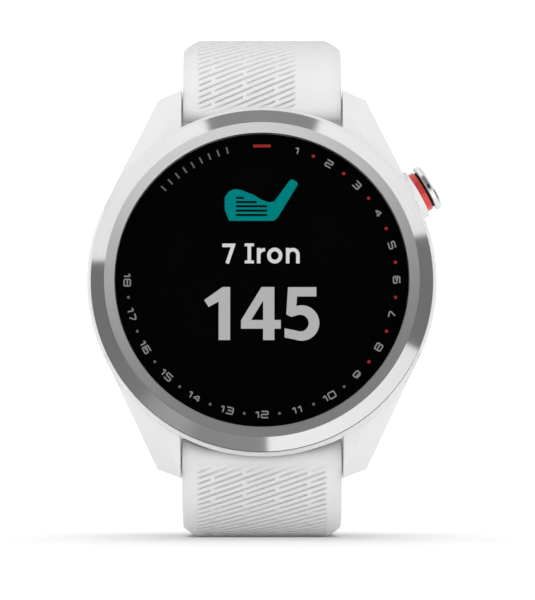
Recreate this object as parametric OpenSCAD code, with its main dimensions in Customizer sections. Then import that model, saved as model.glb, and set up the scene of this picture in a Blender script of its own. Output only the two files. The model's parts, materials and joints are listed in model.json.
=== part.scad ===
// Golf GPS watch: round polymer case with a steel bezel and one pusher, on a silicone strap with a pin buckle.
// Millimetres. +Z is up (towards 12 on the dial), the dial faces -Y and +X is to the wearer's right of it.
// The origin is the middle of the flat stretch of the lower strap that the watch stands on.

/* [Case] */
// Diameter of the polymer case
case_d = 43.5; // [42:0.5:54]
// Thickness from the back cover to the top of the bezel
thickness = 11.4; // [11.4:0.2:14]
// Thickness of the back cover
cover_t = 1.3; // [1.2:0.1:2]
// Height of the bezel above its seam with the case
bezel_h = 3.15; // [3.1:0.05:3.6]
// Width of the case rim that shows round the bezel
rim_w = 0.55; // [0.3:0.05:1]
// Thickness of the case wall, from the outside to the cavity
wall = 3.75; // [3.6:0.05:5]

/* [Bezel and glass] */
// Width of the sloped outer facet of the bezel
facet_w = 1.75; // [1:0.05:2.2]
// Width of the inner facet, from the outer facet to the glass
inner_facet_w = 1.25; // [1:0.05:2]
// Thickness of the glass
glass_t = 0.9; // [0.6:0.1:0.9]
// Width of the black printed ring that carries the hole numbers
number_ring_w = 2.2; // [1.5:0.1:3]

/* [Lugs] */
// How far a lug reaches past the case
lug_overhang = 2.65; // [2.4:0.05:5]
// Width of a lug at its tip
lug_tip_w = 2.95; // [2.4:0.05:4]
// Distance from the spring bar to the tip of the lug
bar_inset = 2.1; // [1.8:0.05:2.6]
// Height of the spring bar above the seat of the back cover
bar_lift = 1.8; // [1.6:0.05:2.4]
// Width of the sloped facet along the outside of a lug
lug_facet_w = 2.0; // [1:0.1:2.4]

/* [Pusher] */
// Angle of the pusher above 3 o'clock
pusher_angle = 30; // [20:0.2:40]
// Diameter of the pusher cap
cap_d = 6; // [5:0.1:7]
// Thickness of the pusher cap
cap_t = 0.85; // [0.6:0.05:1.5]
// Travel of the pusher
pusher_travel = 0.25; // [0.1:0.05:0.5]
// Radius of the pusher stem
stem_r = 1.0; // [0.9:0.05:1.1]

/* [Strap] */
// Width of the strap
strap_w = 20; // [16:0.1:24]
// Thickness of the strap
strap_t = 2.8; // [2.4:0.1:3.2]
// Width of the sloped edge of the strap
edge_w = 1.9; // [1:0.1:2.5]
// Height of the sloped edge of the strap
edge_h = 1.25; // [0.6:0.05:1.6]
// Straight stretch past each spring bar, before the strap bends
lug_lead = 2.4; // [1.5:0.1:4]
// Outer radius of the bend just past each lug
bend_r = 7.1; // [6:0.1:12]
// Flat stretch at the top of the upper strap
top_flat = 14; // [8:0.5:16]
// Radius of the rear bend of the upper strap
upper_rear_r = 25; // [23:0.5:30]
// Straight stretch between the rear bend and the buckle bar
buckle_lead = 6; // [5:0.5:10]
// Flat stretch of the lower strap that rests on the table
foot_flat = 40; // [34:0.5:48]
// Radius of the rear bend of the lower strap
lower_rear_r = 25; // [22:0.5:32]
// Straight tail above the rear bend
tail_l = 24; // [16:0.5:30]
// Radius of the corners of the tail's tip
tip_corner_r = 7; // [3:0.5:8]
// Number of adjustment holes
hole_count = 9; // [5:1:10]
// Pitch of the adjustment holes
hole_pitch = 6; // [5:0.1:7]

/* [Buckle and keepers] */
// Radius of the buckle's rods and of the spring bar tubes
bar_r = 0.9; // [0.8:0.02:0.95]
// Reach of the buckle frame past its bar
frame_reach = 9.8; // [9:0.1:12]
// Width of each rail of the buckle frame
rail_w = 2.0; // [1.6:0.1:2.6]
// Thickness of the buckle frame
frame_t = 2.3; // [1.8:0.1:2.6]
// Width of the tongue
tongue_w = 2.0; // [1.6:0.1:2.2]
// Length of a keeper along the strap, in degrees of the rear bend
keeper_turn = 12; // [8:1:14]
// Wall of a keeper
keeper_wall = 1.4; // [1:0.1:1.8]

/* [Hidden] */
$fn = 96;

slip = 0.05;          // clearance between two pieces that slide or drop into place
run_gap = 0.35;       // clearance round a piece that swings
side_gap = 0.15;      // clearance on each side of the strap, between the lugs
eps = 0.01;           // overshoot of a cut past the face that it opens

// Case levels, along the dial axis from the middle of the case; positive is towards the glass.
case_r = case_d / 2;
z_top = thickness / 2;
z_back = -thickness / 2;
z_seat = z_back + cover_t;             // seat of the back cover
z_seam = z_top - bezel_h;              // seam between case and bezel
bezel_r = case_r - rim_w;
cavity_r = case_r - wall;
lens_seat_r = bezel_r - facet_w - inner_facet_w;
spigot_h = 0.85;                       // depth of the bezel's spigot in the case
spigot_w = 1.35;                       // width of the spigot
web_t = 0.5;                           // web between the display and the electronics
web_w = 2.6;                           // how far the web reaches in past the tray
lens_recess = 0.1;                     // drop of the glass below the bezel's inner edge
inner_slope = 0.35;                    // drop of the inner facet towards the glass
seal_t = 0.1;
print_t = 0.15;                        // number ring
touch_t = 0.2;
guide_t = 0.55;                        // light guide
ledge_w = 0.45;                        // ledge under the edge of the glass
tray_r = lens_seat_r - ledge_w - 3 * slip;
tray_wall = 0.9;
tray_floor = 0.5;
z_lens_top = z_top - inner_slope - lens_recess;
z_lens = z_lens_top - glass_t;
z_ledge = z_lens - seal_t;
z_print = z_lens - print_t;
z_touch = z_print - touch_t;
z_tray = z_seam - spigot_h;            // underside of the display tray
z_guide = z_tray + tray_floor;
z_panel = z_guide + guide_t;
z_web = z_tray - web_t;
flex_slot_y = tray_r - 4.2;               // where the display flex leaves the tray

// Electronics, downwards from the web.
frame_h = 0.5;
board_h = 0.9;
can_h = 1.0;
pad_h = 0.2;
z_frame = z_web - frame_h;
z_board = z_frame - board_h;
z_can = z_board - can_h;
z_pad = z_can - pad_h;
z_cell = z_seat + 0.2;                 // underside of the battery
pillar_r = 1.4;
screw_circle = cavity_r - 1.1;         // cover screws
screw_r = 0.6;
head_r = 1.1;
pillar_top = z_can;
board_screw_circle = tray_r - 1.2;
board_screw_r = 0.5;
cell_w = 16.6;                         // battery width along 12 to 6
cell_clear = 0.5;                      // room between the battery's corners and the screw pillars
cell_reach = screw_circle - pillar_r - cell_clear;
cell_l = 2 * sqrt(pow(cell_reach, 2) - pow(cell_w / 2, 2));
motor_r = 4;
motor_h = 2.6;
motor_y = cavity_r - motor_r - 0.8;
port_y = -(cavity_r - 5.5);            // centre of the charging port
port_l = 9;
port_w = 4.6;
port_deep = 0.9;
pin_pitch = 1.8;
pin_r = 0.45;
pin_count = 4;
seal_mid_r = cavity_r + 0.68;
seal_r = 0.25;
cover_r = cavity_r + 1.3;

// Lugs and spring bars.
lug_reach = case_r + lug_overhang;
lug_in = strap_w / 2 + side_gap;
lug_drop = 1.1;                        // slant of a lug's tip
lug_corner = [lug_in + lug_tip_w, lug_reach - lug_drop];
lug_round = case_r - 0.12;             // the lug's flank meets the case just inside its surface
bar_y = lug_reach - bar_inset;         // spring bar, from the dial axis
bar_z = z_seat + bar_lift;
barrel_r = 1.7;                        // rounded strap end round the spring bar
tip_r = 0.45;                          // thin ends of the spring bars
tip_in = 0.8;                          // how far they enter a lug or a buckle rail
tube_end = lug_in - 0.6;
tube_bore = 0.52;
release_travel = 1.3;
knob_x = 6.3;
knob_r = 0.6;

// Pusher, along its own axis from the dial axis.
clip_r = stem_r + 0.5;
z_pusher = z_frame - clip_r - 0.1;
boss_r = 3.15;
boss_end = case_r + 0.75;
cap_overhang = 0.4;                    // of the cap past its collar
collar_r = cap_d / 2 - cap_overhang;
collar_t = 0.8;
collar_end = boss_end + collar_t;
cap_start = collar_end + pusher_travel + slip;
bush_r = 2.35;
bush_start = cavity_r + 0.4;
bush_bore = stem_r + 0.35;
spring_seat = boss_end - 0.9;
spring_wire = 0.17;
spring_mid_r = bush_bore + spring_wire + 0.08;
spring_bore = spring_mid_r + spring_wire + 0.1;
clip_t = 0.35;
clip_gap = 0.15;
clip_end = cavity_r - clip_gap;
stem_start = clip_end - clip_t - 0.3;
switch_end = stem_start - pusher_travel - slip;
switch_l = 1.9;
seal_wire = (bush_bore - 0.75 * stem_r) / 2 - 0.02;
seal_pos = [bush_start + 0.9, bush_start + 2.1];

// Strap routes, in the plane of its thickness: [length, 0] is straight and [radius, degrees] is a bend inwards.
pivot = [-bar_z, bar_y, 90];           // [back from the case's middle, up from the dial axis, heading]
lug_bend = bend_r - strap_t / 2;
upper_path = [[lug_lead, 0], [lug_bend, 90], [top_flat, 0], [upper_rear_r, 90], [buckle_lead, 0]];
lower_path = [[lug_lead, 0], [lug_bend, 90], [foot_flat, 0], [lower_rear_r, 90], [tail_l, 0]];
dial_z = bar_y + lug_lead + bend_r;
case_y = -(pivot[0] + lug_bend + foot_flat / 2);
half_w = strap_w / 2;
half_t = strap_t / 2;
under_edge = 0.4;
strap_section = [[-half_w, half_t - edge_h], [-half_w + edge_w, half_t], [half_w - edge_w, half_t],
                 [half_w, half_t - edge_h], [half_w, -half_t + under_edge], [half_w - under_edge, -half_t],
                 [-half_w + under_edge, -half_t], [-half_w, -half_t + under_edge]];
hole_r = 1.1;
hole_long = 1.0;                       // straight part of each hole, along the strap
first_hole = 11;                       // from the tip

// Buckle.
frame_in = half_w + 0.4;
frame_out = frame_in + rail_w;
eye_r = 1.75;
cross_w = 2.2;
tongue_t = 1.2;
tongue_slot = 3.6;
tongue_barrel = 3.0;
tongue_tip = 0.6;

// Keepers sit on the rear bend of the upper strap; angles run up from its lower end.
keeper_in = half_t + 0.25;
keeper_room = half_t + strap_t + 0.5;
keeper_half = half_w + 0.25;
fixed_from = 4;
loose_from = 24;

// ---- Placing ----

// Dial frame: z is the dial axis towards the glass, y is towards 12.
module on_dial() {
    translate([0, case_y, dial_z]) rotate([90, 0, 0]) children();
}

// Strap frame: y runs back from the case's middle, z away from the dial axis; the lower strap is mirrored.
module on_band(lower = false) {
    translate([0, case_y, dial_z]) mirror([0, 0, lower ? 1 : 0]) children();
}

// Pusher frame: z is the pusher's axis, outwards.
module on_pusher() {
    on_dial() translate([0, 0, z_pusher]) rotate([0, 0, pusher_angle]) rotate([0, 90, 0]) children();
}

module disc(r, low, high) {
    translate([0, 0, low]) cylinder(r = r, h = high - low);
}

module ring(r_out, r_in, low, high) {
    difference() {
        disc(r_out, low, high);
        disc(r_in, low - eps, high + eps);
    }
}

module block(x, y, z) {
    translate([x[0], y[0], z[0]]) cube([x[1] - x[0], y[1] - y[0], z[1] - z[0]]);
}

module rod_x(r, from, to) {
    translate([from, 0, 0]) rotate([0, 90, 0]) cylinder(r = r, h = to - from);
}

// Rounded rectangle made of plain pieces, so that its corners stay true arcs.
module rounded(size, r) {
    square([size[0] - 2 * r, size[1]], center = true);
    square([size[0], size[1] - 2 * r], center = true);
    for (sx = [-1, 1], sy = [-1, 1])
        translate([sx * (size[0] / 2 - r), sy * (size[1] / 2 - r)]) circle(r = r);
}

// Four places, one in each quarter.
module quarters(r, at = 45) {
    for (a = [0:3]) rotate([0, 0, at + 90 * a]) translate([r, 0, 0]) children();
}

module board_places() {
    for (a = [60, 180, 300]) rotate([0, 0, a]) translate([board_screw_circle, 0, 0]) children();
}

// ---- Strap routes ----

function rad(a) = a * PI / 180;

// Where a piece of route ends: [back, up, heading].
function step(s, piece) = piece[1] == 0
    ? [s[0] + piece[0] * cos(s[2]), s[1] + piece[0] * sin(s[2]), s[2]]
    : [s[0] - piece[0] * (sin(s[2] - piece[1]) - sin(s[2])),
       s[1] + piece[0] * (cos(s[2] - piece[1]) - cos(s[2])),
       s[2] - piece[1]];

function route_to(path, n, s = pivot, i = 0) = i == n ? s : route_to(path, n, step(s, path[i]), i + 1);

function piece_length(piece) = piece[1] == 0 ? piece[0] : piece[0] * rad(piece[1]);

function route_length(path, i = 0) = i == len(path) ? 0 : piece_length(path[i]) + route_length(path, i + 1);

// The place at a distance along a route.
function along(path, d, s = pivot, i = 0) =
    d <= piece_length(path[i]) || i == len(path) - 1
        ? step(s, path[i][1] == 0 ? [d, 0] : [path[i][0], d / path[i][0] * 180 / PI])
        : along(path, d - piece_length(path[i]), step(s, path[i]), i + 1);

// Local frame at a place on the route: y along it, z out of the strap's outer face.
module at(s) {
    translate([0, s[0], s[1]]) rotate([s[2], 0, 0]) children();
}

// One piece of strap, from the place s.
module strap_piece(s, piece, section = strap_section) {
    if (piece[1] == 0)
        at(s) rotate([-90, 0, 0]) linear_extrude(piece[0]) polygon([for (p = section) [p[0], -p[1]]]);
    else
        translate([0, s[0] + piece[0] * sin(s[2]), s[1] - piece[0] * cos(s[2])])
            rotate([s[2] + 180 - piece[1], 0, 0]) rotate([0, 90, 0])
                rotate_extrude(angle = piece[1], $fn = 180) polygon([for (p = section) [piece[0] + p[1], p[0]]]);
}

module strap_body(path, last) {
    for (i = [0:last]) strap_piece(route_to(path, i), path[i]);
    at(pivot) rod_x(barrel_r, -half_w + 0.3, half_w - 0.3);
}

// ---- Case ----

function tangent_point(p, r) = let (a = atan2(p[1], p[0]) - acos(r / norm(p))) [r * cos(a), r * sin(a)];

lug_side = [[8, z_seam], [case_r - 3.6, z_seam - 0.7], [lug_reach, z_seam - 3.4], [lug_reach, z_seat - 0.2],
            [lug_reach - 1.2, z_seat - 1.1], [8, z_seat]];
lug_slope = atan((2.7) / (lug_reach - case_r + 3.6));

// The lug at 1 o'clock.
module lug() {
    foot = tangent_point(lug_corner, lug_round);
    run = lug_corner - foot;
    heading = atan2(run[1], run[0]);
    difference() {
        intersection() {
            translate([0, 0, z_back - 2]) linear_extrude(thickness + 4)
                polygon([[lug_in, 8], [foot[0] - 2, 8], foot, lug_corner, [lug_in, lug_reach]]);
            rotate([90, 0, 90]) linear_extrude(case_r) polygon(lug_side);
        }
        translate([lug_corner[0], lug_corner[1], z_seam - 3.4 + lug_drop * tan(lug_slope)])
            rotate([0, 0, heading]) rotate([0, lug_slope * sin(heading), 0])
                translate([0, lug_facet_w, 0]) rotate([42, 0, 0])
                    block([-30, 6], [-8, 8], [0, 8]);
    }
}

module case_body() {
    rotate_extrude($fn = 180) polygon([
        [0, z_seat], [case_r - 1.75, z_seat], [case_r - 1.05, z_seat + 0.5], [case_r, z_seat + 3.2],
        [case_r, z_seam - 0.4], [case_r - 0.4, z_seam], [0, z_seam]]);
    for (sx = [0, 1], sy = [0, 1]) mirror([sx, 0, 0]) mirror([0, sy, 0]) lug();
    translate([0, 0, z_pusher]) rotate([0, 0, pusher_angle]) rotate([0, 90, 0])
        disc(boss_r, cavity_r + 1, boss_end);
}

module strap_recess() {
    translate([0, bar_y, bar_z]) rod_x(barrel_r + run_gap, -lug_in, lug_in);
    block([-lug_in, lug_in], [bar_y - barrel_r - run_gap, lug_reach + 1], [z_back - 3, bar_z]);
    block([-lug_in, lug_in], [bar_y, lug_reach + 1], [bar_z - 1, z_seam + 1]);
    translate([0, bar_y, bar_z]) rod_x(tip_r + slip, -lug_in - tip_in - 0.1, lug_in + tip_in + 0.1);
}

module case_middle() {
    color("white") on_dial() difference() {
        union() {
            difference() {
                case_body();
                disc(cavity_r, z_seat - 3, z_web);
                disc(cover_r + slip, z_seat - 3, z_seat);
            }
            intersection() {
                quarters(screw_circle) disc(pillar_r, z_seat, pillar_top);
                disc(cavity_r + 1, z_seat, z_web);
            }
        }
        disc(tray_r - web_w, z_web - 1, z_tray + 1);
        disc(tray_r + slip, z_tray, z_seam + 1);
        disc(tray_r + 2 * slip + spigot_w + slip, z_tray, z_seam + 1);
        ring(seal_mid_r + 0.33, seal_mid_r - 0.33, z_seat - eps, z_seat + 2 * seal_r);
        quarters(screw_circle) disc(screw_r, z_seat - 1, pillar_top - 0.6);
        board_places() disc(board_screw_r, z_web - eps, z_tray - 0.1);
        translate([0, 0, z_pusher]) rotate([0, 0, pusher_angle]) rotate([0, 90, 0])
            disc(bush_r + slip, cavity_r - 2, boss_end + 1);
        for (sy = [0, 1]) mirror([0, sy, 0]) strap_recess();
    }
}

module bezel() {
    spigot_in = tray_r + 2 * slip;
    color("silver") on_dial() rotate_extrude($fn = 180) polygon([
        [spigot_in, z_tray], [spigot_in + spigot_w, z_tray], [spigot_in + spigot_w, z_seam],
        [bezel_r, z_seam], [bezel_r, z_seam + 1.3], [bezel_r - facet_w, z_top],
        [lens_seat_r, z_top - inner_slope], [lens_seat_r, z_ledge], [spigot_in, z_ledge]]);
}

module lens() {
    r = lens_seat_r - slip;
    color("gray", 0.3) on_dial() rotate_extrude($fn = 180) polygon([
        [0, z_lens], [r, z_lens], [r, z_lens_top - 0.15], [r - 0.15, z_lens_top], [0, z_lens_top]]);
}

module lens_seal() {
    color("black") on_dial() ring(lens_seat_r - slip, lens_seat_r - ledge_w + slip, z_ledge, z_lens);
}

// ---- Display ----

module number_ring() {
    color("black") on_dial() ring(tray_r, tray_r - number_ring_w, z_print, z_lens);
}

module touch_panel() {
    color("dimgray") on_dial() disc(tray_r - tray_wall - slip, z_touch, z_print);
}

module display_panel() {
    color("black") on_dial() disc(tray_r - tray_wall - slip, z_panel, z_touch);
}

module light_guide() {
    color("whitesmoke") on_dial() difference() {
        disc(tray_r - tray_wall - slip, z_guide, z_panel);
        block([-tray_r, tray_r], [-tray_r, -flex_slot_y + 0.1], [z_guide - 1, z_panel + 1]);
    }
}

module display_tray() {
    color("darkslategray") on_dial() difference() {
        disc(tray_r, z_tray, z_print);
        disc(tray_r - tray_wall, z_guide, z_print + 1);
        block([-4.3, 4.3], [-flex_slot_y - 0.9, -flex_slot_y], [z_tray - 1, z_guide + 1]);
    }
}

module display_flex() {
    color("orange") on_dial() {
        block([-4, 4], [-flex_slot_y - 0.6, -flex_slot_y - 0.4], [z_frame, z_panel]);
        block([-4, 4], [-flex_slot_y - 0.4, -flex_slot_y + 2], [z_frame, z_frame + 0.4]);
    }
}

// ---- Electronics ----

module pillar_notches(low, high) {
    quarters(screw_circle) disc(pillar_r + 0.3, low - 1, high + 1);
    board_places() disc(board_screw_r + slip, low - 1, high + 1);
}

module inner_frame() {
    color("dimgray") on_dial() difference() {
        disc(cavity_r - 2 * slip, z_frame, z_web);
        disc(tray_r - web_w - 3, z_frame - 1, z_web + 1);
        block([-5, 5], [-cavity_r, -flex_slot_y + 3], [z_frame - 1, z_web + 1]);
        pillar_notches(z_frame, z_web);
    }
}

module main_board() {
    color("darkgreen") on_dial() difference() {
        disc(cavity_r - 6 * slip, z_board, z_frame);
        pillar_notches(z_board, z_frame);
        rotate([0, 0, pusher_angle]) block([switch_end - switch_l, cavity_r + 1], [-2.4, 2.4],
                                              [z_board - 1, z_frame + 1]);
    }
}

module board_screws() {
    color("silver") on_dial() board_places() difference() {
        union() {
            disc(1.0, z_board - 0.4, z_board);
            disc(board_screw_r, z_board - 0.1, z_tray - 0.15);
        }
        translate([0, 0, z_board - 0.4 - eps]) cylinder(r = 0.45, h = 0.25, $fn = 6);
    }
}

module shield_can() {
    color("silver") on_dial() difference() {
        block([-9, 4], [-6, 7], [z_can, z_board]);
        block([-8.8, 3.8], [-5.8, 6.8], [z_can + 0.2, z_board + 1]);
    }
}

module board_chips() {
    color("black") on_dial() {
        block([-7.5, -1.5], [-4, 2], [z_board - 0.7, z_board]);
        block([-0.5, 3], [-4.5, -1], [z_board - 0.6, z_board]);
        block([-7, -3], [3.4, 6], [z_board - 0.5, z_board]);
        block([5.2, 8.8], [-5, -1.6], [z_board - 0.8, z_board]);
        block([5.6, 8], [1.5, 5.5], [z_board - 0.9, z_board]);
    }
}

module battery() {
    color("silver") on_dial() translate([0, 0, z_cell]) linear_extrude(z_pad - z_cell)
        rounded([cell_l, cell_w], 1.2);
}

module battery_pad() {
    color("gold") on_dial() block([-8, 3], [-5, 6], [z_pad, z_can]);
}

module battery_lead() {
    color("orange") on_dial() {
        block([-3, 3], [-cell_w / 2 - 0.25, -cell_w / 2], [z_pad - 1.2, z_board - 0.6]);
        block([-3, 3], [-cell_w / 2 - 1.6, -cell_w / 2], [z_board - 0.6, z_board]);
    }
}

module vibration_motor() {
    color("silver") on_dial() translate([0, motor_y, 0]) {
        disc(motor_r, z_board - motor_h, z_board - 0.15);
        disc(motor_r - 1, z_board - 0.15, z_board);
    }
}

module antenna_film() {
    color("goldenrod") on_dial() rotate([0, 0, 104]) rotate_extrude(angle = 24)
        translate([cavity_r - 0.25, z_seat + 0.5]) square([0.2, z_board - z_seat - 1]);
}

module side_switch() {
    plunger_l = 0.6;
    color("dimgray") on_pusher() {
        translate([0, 0, switch_end - switch_l]) linear_extrude(switch_l - plunger_l)
            square([2.8, 3.6], center = true);
        disc(0.7, switch_end - plunger_l, switch_end);
    }
}

// ---- Pusher ----

module pusher_bush() {
    color("red") on_pusher() difference() {
        union() {
            disc(bush_r, bush_start, boss_end);
            disc(collar_r, boss_end, collar_end);
        }
        disc(bush_bore, bush_start - 1, collar_end + 1);
        disc(spring_bore, spring_seat, collar_end + 1);
    }
}

// A coil of round wire: rings of points swept along a helix, as one closed shell.
module coil(mid_r, wire, length, turns, sides = 6, steps = 14) {
    n = turns * steps;
    points = [for (i = [0:n], k = [0:sides - 1])
        let (a = 360 * i / steps, b = 360 * k / sides, r = mid_r + wire * cos(b))
            [r * cos(a), r * sin(a), wire + (length - 2 * wire) * i / n + wire * sin(b)]];
    walls = [for (i = [0:n - 1], k = [0:sides - 1])
        let (p = i * sides + k, q = i * sides + (k + 1) % sides)
            [p, p + sides, q + sides, q]];
    polyhedron(points, concat([[for (k = [0:sides - 1]) k]], walls,
                              [[for (k = [sides - 1:-1:0]) n * sides + k]]), convexity = 6);
}

module pusher_spring() {
    color("silver") on_pusher() translate([0, 0, spring_seat])
        coil(spring_mid_r, spring_wire, cap_start - spring_seat, 3);
}

module pusher_cap() {
    r = cap_d / 2;
    color("silver") on_pusher() translate([0, 0, cap_start]) rotate_extrude() polygon([
        [0, 0], [r - 0.12, 0], [r, 0.12], [r, cap_t - 0.25], [r - 0.25, cap_t], [r - 0.9, cap_t],
        [r - 1.05, cap_t - 0.12], [0, cap_t - 0.12]]);
}

module pusher_stem() {
    groove = 2 * seal_wire + 0.06;
    color("lightgray") on_pusher() difference() {
        disc(stem_r, stem_start, cap_start);
        for (p = seal_pos) ring(stem_r + 1, 0.75 * stem_r, p - groove / 2, p + groove / 2);
        ring(stem_r + 1, 0.75 * stem_r, clip_end - clip_t - 0.03, clip_end + 0.03);
    }
}

module pusher_seals() {
    color("black") on_pusher() for (p = seal_pos) translate([0, 0, p]) rotate_extrude()
        translate([0.75 * stem_r + seal_wire + 0.01, 0]) circle(r = seal_wire, $fn = 24);
}

module pusher_clip() {
    color("silver") on_pusher() difference() {
        ring(clip_r, 0.75 * stem_r + 0.02, clip_end - clip_t, clip_end);
        block([-0.55 * stem_r, 0.55 * stem_r], [0, stem_r + 1], [clip_end - 1, clip_end + 1]);
    }
}

// ---- Back ----

module back_seal() {
    color("black") on_dial() rotate_extrude($fn = 120) translate([seal_mid_r, z_seat + seal_r])
        circle(r = seal_r - 0.005, $fn = 24);
}

module port_shape(grow = 0) {
    translate([0, port_y]) rounded([port_l + 2 * grow, port_w + 2 * grow], 1.2 + grow);
}

module back_cover() {
    color("gray") on_dial() difference() {
        rotate_extrude($fn = 180) polygon([[0, z_back], [cover_r - 1.1, z_back], [cover_r, z_back + 0.8],
                                           [cover_r, z_seat], [0, z_seat]]);
        translate([0, 0, z_back - 1]) linear_extrude(cover_t + 2) port_shape();
        quarters(screw_circle) {
            disc(screw_r + 0.1, z_back - 1, z_seat + 1);
            disc(head_r + 0.1, z_back - 1, z_back + 0.75);
        }
    }
}

module cover_screws() {
    color("silver") on_dial() quarters(screw_circle) difference() {
        union() {
            disc(head_r, z_back + 0.15, z_back + 0.75);
            disc(screw_r, z_back + 0.6, pillar_top - 1.2);
        }
        translate([0, 0, z_back + 0.15 - eps]) cylinder(r = 0.55, h = 0.4, $fn = 6);
    }
}

module charge_socket() {
    color("black") on_dial() difference() {
        translate([0, 0, z_back + 0.1]) linear_extrude(cover_t + 0.2) port_shape(-slip);
        translate([0, 0, z_back - 1]) linear_extrude(1 + port_deep) port_shape(-0.7);
        pin_places() disc(pin_r, z_back, z_seat + 1);
    }
}

module pin_places() {
    for (i = [0:pin_count - 1]) translate([(i - (pin_count - 1) / 2) * pin_pitch, port_y, 0]) children();
}

module charge_pins() {
    color("gold") on_dial() pin_places() disc(pin_r, z_back + 0.55, z_seat + 0.3);
}

module charge_board() {
    color("darkgreen") on_dial() {
        block([-4.4, 4.4], [port_y - 2.2, port_y + 2.2], [z_seat + 0.3, z_seat + 0.7]);
        block([-1.5, 1.5], [port_y + 1.6, port_y + 1.8], [z_seat + 0.7, z_board]);
    }
}

// ---- Straps ----

// Opens the strap end for the knob of the spring bar.
module knob_pocket() {
    at(pivot) block([knob_x - knob_r - release_travel - 0.3, knob_x + knob_r + 0.3], [-0.9, 0.9], [-3, 0]);
}

module upper_strap() {
    end = route_to(upper_path, len(upper_path));
    color("white") on_band() difference() {
        union() {
            strap_body(upper_path, len(upper_path) - 1);
            at(end) rod_x(barrel_r, -half_w, half_w);
        }
        at(pivot) rod_x(bar_r + slip, -half_w - 1, half_w + 1);
        knob_pocket();
        at(end) rod_x(bar_r + slip, -half_w - 1, half_w + 1);
        at(end) block([-tongue_slot / 2, tongue_slot / 2], [-barrel_r - 1.6, 3], [-3, 3]);
    }
}

// A hole through the strap, longer along it than across.
module strap_hole(s) {
    at(s) {
        for (d = [-1, 1]) translate([0, d * hole_long / 2, -half_t - 1]) cylinder(r = hole_r, h = strap_t + 2);
        block([-hole_r, hole_r], [-hole_long / 2, hole_long / 2], [-half_t - 1, half_t + 1]);
    }
}

// The end of the tail: the straight piece, cut to a round tip.
module strap_tip() {
    start = route_to(lower_path, len(lower_path) - 1);
    corner = half_w - tip_corner_r;
    intersection() {
        strap_piece(start, [tail_l, 0]);
        at(start) translate([0, 0, -half_t - 1]) linear_extrude(strap_t + 2) {
            translate([-half_w - 1, -1]) square([strap_w + 2, tail_l - tip_corner_r + 1]);
            translate([-corner, 0]) square([2 * corner, tail_l]);
            for (d = [-1, 1]) translate([d * corner, tail_l - tip_corner_r]) circle(r = tip_corner_r);
        }
    }
}

module lower_strap() {
    total = route_length(lower_path);
    color("white") on_band(true) difference() {
        union() {
            strap_body(lower_path, len(lower_path) - 2);
            strap_tip();
        }
        at(pivot) rod_x(bar_r + slip, -half_w - 1, half_w + 1);
        knob_pocket();
        for (k = [0:hole_count - 1]) strap_hole(along(lower_path, total - first_hole - k * hole_pitch));
    }
}

spring_from = -1.5;
shaft_from = knob_x - 1.7;

// Spring bar: a tube with one fixed thin end, and a slot for the knob of the other.
module spring_bar(lower) {
    color("silver") on_band(lower) at(pivot) difference() {
        union() {
            rod_x(bar_r, -tube_end, tube_end);
            rod_x(tip_r, -lug_in - tip_in, -tube_end + 1);
        }
        rod_x(tube_bore, spring_from, tube_end + 1);
        block([knob_x - knob_r - release_travel - 0.1, knob_x + knob_r + 0.1], [-knob_r - slip, knob_r + slip],
              [-bar_r - 1, 0]);
    }
}

module bar_spring(lower) {
    color("silver") on_band(lower) at(pivot) translate([spring_from, 0, 0]) rotate([0, 90, 0])
        coil(0.36, 0.11, shaft_from - spring_from, 6, 5, 10);
}

module release_pin(lower) {
    color("silver") on_band(lower) at(pivot) {
        rod_x(tip_r, shaft_from, lug_in + tip_in);
        translate([knob_x, 0, -barrel_r - 0.1]) cylinder(r = knob_r, h = barrel_r + 0.1);
    }
}

module upper_bar() spring_bar(false);
module lower_bar() spring_bar(true);
module upper_bar_spring() bar_spring(false);
module lower_bar_spring() bar_spring(true);
module upper_release() release_pin(false);
module lower_release() release_pin(true);

// ---- Keepers and buckle ----

module keeper(from) {
    end = route_to(upper_path, len(upper_path) - 1);
    low = upper_rear_r - keeper_in;
    high = upper_rear_r + keeper_room;
    color("white") on_band() translate([0, end[0] - upper_rear_r, end[1]])
        rotate([from + 90, 0, 0]) rotate([0, 90, 0])
            rotate_extrude(angle = keeper_turn, $fn = 180) difference() {
                translate([(low + high) / 2, 0])
                    rounded([high - low + 2 * keeper_wall, 2 * (keeper_half + keeper_wall)], 1.3);
                translate([(low + high) / 2, 0]) rounded([high - low, 2 * keeper_half], 0.15);
            }
}

module fixed_keeper() keeper(fixed_from);
module loose_keeper() keeper(loose_from);

// Buckle frame of reference: the end of the upper strap, y onwards along it and z out of its outer face.
module on_buckle() {
    on_band() at(route_to(upper_path, len(upper_path))) children();
}

module buckle_bar() {
    color("silver") on_buckle() {
        rod_x(bar_r, -frame_in + slip, frame_in - slip);
        rod_x(tip_r, -frame_in - tip_in, frame_in + tip_in);
    }
}

module buckle_frame() {
    color("silver") on_buckle() difference() {
        union() {
            translate([0, frame_reach / 2, -frame_t / 2]) linear_extrude(frame_t)
                rounded([2 * frame_out, frame_reach], 1.9);
            for (s = [0, 1]) mirror([s, 0, 0]) rod_x(eye_r, frame_in, frame_out);
        }
        block([-frame_in, frame_in], [-eye_r - 1, frame_reach - cross_w], [-frame_t, frame_t]);
        rod_x(tip_r + slip, -frame_in - tip_in - 0.1, frame_in + tip_in + 0.1);
        block([-tongue_w / 2 - 0.15, tongue_w / 2 + 0.15], [frame_reach - cross_w - 1, frame_reach + 1],
              [frame_t / 2 - 0.4, frame_t]);
    }
}

module buckle_tongue() {
    low = frame_t / 2 - 0.4 + slip;
    color("silver") on_buckle() difference() {
        union() {
            rod_x(bar_r + slip + 0.75, -tongue_barrel / 2, tongue_barrel / 2);
            block([-tongue_w / 2, tongue_w / 2], [0, frame_reach + tongue_tip], [low, low + tongue_t]);
        }
        rod_x(bar_r + slip, -tongue_barrel, tongue_barrel);
    }
}

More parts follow.
